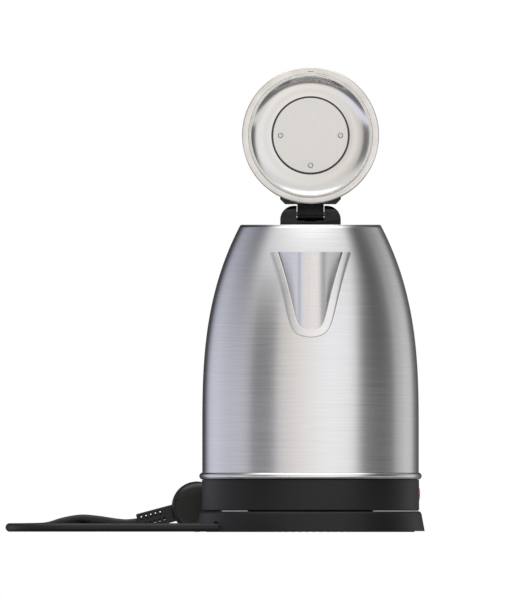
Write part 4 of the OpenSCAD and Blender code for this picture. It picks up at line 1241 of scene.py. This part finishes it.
hole_shape = block((-9.4, 0, -3.5), (9.4, 40, 3.5))
lever_hole = carried(hole_shape, lever_at)
catch_pockets = [block((-4.4, 55, 208.2), (4.4, 76.4, 211.8)), block((-4.4, 55, 208.1), (4.4, 63.9, 224))]
for name, section, holes in (("handle_outer", outer_section, [button_hole, lever_hole]),
                             ("handle_inner", inner_section, [])):
    half = new_piece(name + "_moulding", *loft(section, grip_line), black_plastic, sharp=40)
    for hole in [jug_space] + catch_pockets + holes:
        cut(half, hole, sharp=40)
    put(half, "jug", "black_plastic", name)
core = new_piece("handle_core", *loft(core_section, grip_line), smooth_plastic, sharp=40)
for hole in (jug_space, *catch_pockets, button_hole, lever_hole):
    cut(core, hole, sharp=40)
put(core, "jug", "black_plastic")

# %% [markdown]
# ## Lid button
# The button that opens the lid is a rounded block with a soft top and three low ribs across it, so that a thumb doesn't
# slip. The ribs are one rib repeated, so a tree sets them out.

# %% Button
button_shape = block((-BUTTON_W / 2, BUTTON_Y - BUTTON_LEN / 2, BUTTON_LOW),
                                    (BUTTON_W / 2, BUTTON_Y + BUTTON_LEN / 2, BUTTON_TOP - 0.4), radius=1.4, steps=5)
button = new_piece("lid_button_cap", *button_shape, smooth_plastic, sharp=50)
cut(button, bar((0, BUTTON_Y, BUTTON_LOW - 1), (0, BUTTON_Y, BUTTON_LOW + 3), 4.4))
put(button, "button", "dark_plastic", "lid_button")

rib_tree, sizes = start_tree("row_of_ribs", [
    ("Count", "Int", 3), ("Spacing", "Float", 0.0035), ("Rib", "Vector", (0.01, 0.001, 0.0008)),
    ("Place", "Vector", (0.0, 0.0, 0.0)),
])
row = add_node(rib_tree, "GeometryNodeMeshLine", {
    "Count": sizes["Count"], "Offset": along(rib_tree, 1, sizes["Spacing"])})
rib = add_node(rib_tree, "GeometryNodeMeshCube", {"Size": sizes["Rib"], "Vertices X": 2, "Vertices Y": 2,
                                                 "Vertices Z": 2})
ribs = add_node(rib_tree, "GeometryNodeInstanceOnPoints", {"Points": row.outputs[0], "Instance": rib.outputs[0]})
placed = add_node(rib_tree, "GeometryNodeTransform", {"Geometry": ribs.outputs[0], "Translation": sizes["Place"]})
end_tree(rib_tree, placed.outputs[0], smooth_plastic)
button_ribs = run_tree("lid_button_ribs", rib_tree, {
    "Count": 3, "Spacing": 3.4 * MM, "Rib": (10 * MM, 1.1 * MM, 0.8 * MM),
    "Place": (0, (BUTTON_Y - 3.4) * MM, (BUTTON_TOP - 0.42) * MM)}, smooth_plastic)
put(button_ribs, "button", "dark_plastic")

# %% [markdown]
# ## Switch lever
# The lever at the foot of the handle rocks down to start the kettle. It is a paddle with a turned hub on a
# steel pin, drawn level and then tilted about the pin to where it rests.

# %% Lever
lever_rest = Matrix.Translation((0, LEVER_Y, LEVER_Z)) @ Matrix.Rotation(math.radians(LEVER_TILT), 4, "X")
lever_shape = joined(
    bar((-7, 0, 0), (7, 0, 0), 3.2, around=48, chamfer=0.3),
    block((-7, 0, -1.5), (7, 13, 1.5), radius=0.4),
    block((-9, 12.4, -1.8), (9, 21, 1.8), radius=1.0, steps=4),
)
lever = new_piece("switch_paddle", *carried(lever_shape, lever_rest), smooth_plastic, sharp=40)
put(lever, "switch", "dark_plastic", "switch_lever")

# %% [markdown]
# ## Mains plug
# A round earthed plug, moulded on the lead in one piece. Its back has a flat band between two parting lines,
# and the sides fall away from it in a curve. The boot is the strain relief: two staggered rows of slots let it
# bend. The back is a grid of the band's own rows, so that the parting lines run straight across it.

# %% Plug body
plug_at = Matrix.Translation(PLUG) @ Matrix.Rotation(math.radians(-PLUG_TILT), 4, "Y")
BAND, BACK = 9.1, -13.0


def back_depth(u, v):
    """The y of the plug's back at a point of its face."""
    y = BACK
    if abs(v) > BAND:
        y += 0.35 + 6.2 * (1 - math.sqrt(max(0, 1 - ((abs(v) - BAND) / 8.7) ** 2)))
    edge = max(0, (math.hypot(u, v) - 13.0) / (PLUG_R - 13.0))
    return y + 3.6 * edge**3


band_rows = [-17.2, -16.8, -16, -15, -14, -13, -12, -11, -10, -9.35, -BAND - 0.001, -BAND + 0.001, -8.7, -6, -3, 0]
band_rows = band_rows + [-v for v in band_rows[-2::-1]]
cap_front, cap_back = [], []
for v in band_rows:
    half = math.sqrt(17.45**2 - v * v)
    us = [half * math.sin(math.pi / 2 * s) for s in steps_between(-1, 1, 48)]
    cap_front.append([(u, back_depth(u, v), v) for u in us])
    cap_back.append([(u, -2.0, v) for u in us])
plug_shell = filleted([(0, -5.6, 0), (PLUG_R - 0.7, -5.6, 0), (PLUG_R, -4.2, 1.2), (PLUG_R, 6, 0.2),
                       (PLUG_R - 0.3, 6, 0), (PLUG_R - 0.6, 6.5, 0.2), (PLUG_R - 0.6, 23, 1.0), (PLUG_R - 3.2, 23, 0.6),
                       (PLUG_R - 3.4, 19.5, 0.6), (0, 19.5, 0)])
shell_shape = turned_points(plug_shell, around=128, closed=False)
facing = Matrix.Rotation(math.radians(-90), 4, "X")
boot_block = block((-BOOT_LENGTH, -4.5, -6), (-8, 4.5, 6), radius=0.9, steps=3)
ridges = [bar((-14.6, BACK + 0.02, v), (14.6, BACK + 0.02, v), 0.24, around=12) for v in (-BAND, BAND)]
plug_shape = joined(sheet_between(cap_front, cap_back), carried(shell_shape, facing), *ridges)
plug = new_piece("plug_body", *carried(plug_shape, plug_at), smooth_plastic, sharp=30)
holes = [bar((side * 9.5, 15, 0), (side * 9.5, 24, 0), 2.5) for side in (-1, 1)]
holes += [bar((0, 15, 6), (0, 24, 6), 2.6)]
for hole in holes:
    cut(plug, carried(hole, plug_at), sharp=30, overlapping=True)
put(plug, "base", "black_plastic", "mains_plug")

# %% Boot, its slots and the flex inside it
boot = new_piece("plug_boot", *carried(boot_block, plug_at), smooth_plastic, sharp=50)
SLOT_PITCH, SLOT_LENGTH = 3.4, 1.9
slots = []
for i in range(5):
    for start, low_z, high_z in ((2.4, 1.2, 4.7), (4.0, -4.7, -1.2)):
        left_x, middle_z = -BOOT_LENGTH + start + i * SLOT_PITCH, (low_z + high_z) / 2
        for near, far in ((-6, -2.2), (2.2, 6)):
            slots.append(block((left_x, near, low_z), (left_x + SLOT_LENGTH, far, high_z)))
        slots.append(block((left_x + 0.5, -2.3, middle_z - 0.2), (left_x + 1.3, 2.3, middle_z + 0.7)))
slot_shape = joined(*slots)
cut(boot, carried(slot_shape, plug_at), sharp=50, overlapping=True)
put(boot, "base", "black_plastic")
flex_shape = bar((-BOOT_LENGTH + 0.5, 0, 0), (-9, 0, 0), 2.9, around=32)
inner_flex = new_piece("flex_in_boot", *carried(flex_shape, plug_at), sheath)
put(inner_flex, "base", "black_rubber")

# %% Pins
pin_outline = filleted([(0, 0, 0), (2.4, 0, 0.1), (2.4, 23.2, 1.1), (0, 24, 0)], steps=6)
pins = []
for side in (-1, 1):
    pin_shape = turned_points(pin_outline, around=32, closed=False)
    stand = plug_at @ Matrix.Translation((side * 9.5, 18, 0)) @ facing
    pins.append(carried(pin_shape, stand))
plug_pins = new_piece("plug_contact_pins", *joined(*pins), nickel)
put(plug_pins, "base", "plated_steel", "plug_pins")

# %% [markdown]
# ## Ring of grips under the base
# The base stands on a ring of soft rubber, ribbed so that it grips. The ribs are one small block set out round
# a circle.

# %% Rubber ring
grip_tree, sizes = start_tree("ring_of_grips", [
    ("Count", "Int", 90), ("Ring radius", "Float", 0.0705), ("Rib", "Vector", (0.0046, 0.0026, 0.0009)),
    ("Height", "Float", 0.00045),
])
circle = add_node(grip_tree, "GeometryNodeMeshCircle", {"Vertices": sizes["Count"], "Radius": sizes["Ring radius"]})
pad = add_node(grip_tree, "GeometryNodeMeshCube", {"Size": sizes["Rib"]})
spot = add_node(grip_tree, "ShaderNodeSeparateXYZ", {0: add_node(grip_tree, "GeometryNodeInputPosition").outputs[0]})
face_out = add_node(grip_tree, "ShaderNodeCombineXYZ", {2: arithmetic(grip_tree, "ARCTAN2", spot.outputs[1],
                                                                      spot.outputs[0])})
set_out = add_node(grip_tree, "GeometryNodeInstanceOnPoints", {"Points": circle.outputs[0], "Instance": pad.outputs[0],
                                                              "Rotation": face_out.outputs[0]})
stood = add_node(grip_tree, "GeometryNodeTransform", {
    "Geometry": set_out.outputs[0],
    "Translation": along(grip_tree, 2, sizes["Height"])})
end_tree(grip_tree, stood.outputs[0], foot_rubber)
grips = run_tree("foot_grips", grip_tree, {"Count": 90, "Ring radius": 70.5 * MM, "Rib": (4.6 * MM, 2.6 * MM, 0.9 * MM),
                                          "Height": 0.45 * MM}, foot_rubber)


def over_notch(shape):
    """The grips that would stand in the lead's way."""
    inside = [v for v in shape.verts if v.co.x < -0.03 and abs(v.co.y + 0.0427) < 0.0055]
    return list({v for v in inside for edge in v.link_edges for v in edge.verts})


delete_from(grips.data, over_notch, "VERTS")
ring_shape = turned_points([(68, 0.8), (73, 0.8), (73, 1.6), (68, 1.6)], around=192)
rubber = new_piece("foot_ring", *ring_shape, foot_rubber)
cut(rubber, block((-95, -46.4, -1), (-40, -39, 5)))
put(rubber, "base", "black_rubber", "non_slip_ring")
put(grips, "base", "black_rubber")

# %% [markdown]
# ## Parts kept from the CAD
# The heater, contacts, springs and screws are inside or underneath, and their CAD shapes are right, so they stay
# and only get their finishes. The list names every CAD part that is kept, with the material it is made of.

# %% Finishes of the CAD parts
FINISH_OF = {
    "base_screws": nickel, "bottom_screws": nickel, "handle_screws": nickel, "switch_pivot": nickel,
    "button_spring": nickel, "hinge_pin": nickel, "hinge_spring": nickel, "plug_earth_clips": nickel,
    "base_contacts": brass, "socket_earth_pin": brass, "socket_contact_rings": brass, "cord_clamp": grey_plastic,
    "stored_lead": sheath, "power_cord": sheath, "spout_filter": satin_steel, "heating_plate": drawn_steel,
    "heat_spreader": aluminium, "heating_element": aluminium, "plate_seal": silicone, "steam_tube": silicone,
    "control_module": natural_plastic, "steam_switch": natural_plastic,
    "bimetal_discs": bimetal, "pilot_lamp": lamp_glass,
}
kept = [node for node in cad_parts.values() if not node.hide_render]
for node in kept:
    material = FINISH_OF.get(node.name, smooth_plastic)
    node.data.materials.clear()
    node.data.materials.append(material)
    if node.name not in FINISH_OF:
        print("no finish listed for", node.name)
print("kept from the CAD:", sorted(node.name for node in kept))

# %% [markdown]
# The lead rides on the base, with the plug on its far end, and stands for the CAD's power cord.

# %% Lead
put(lead, "base", "black_rubber", "power_cord")
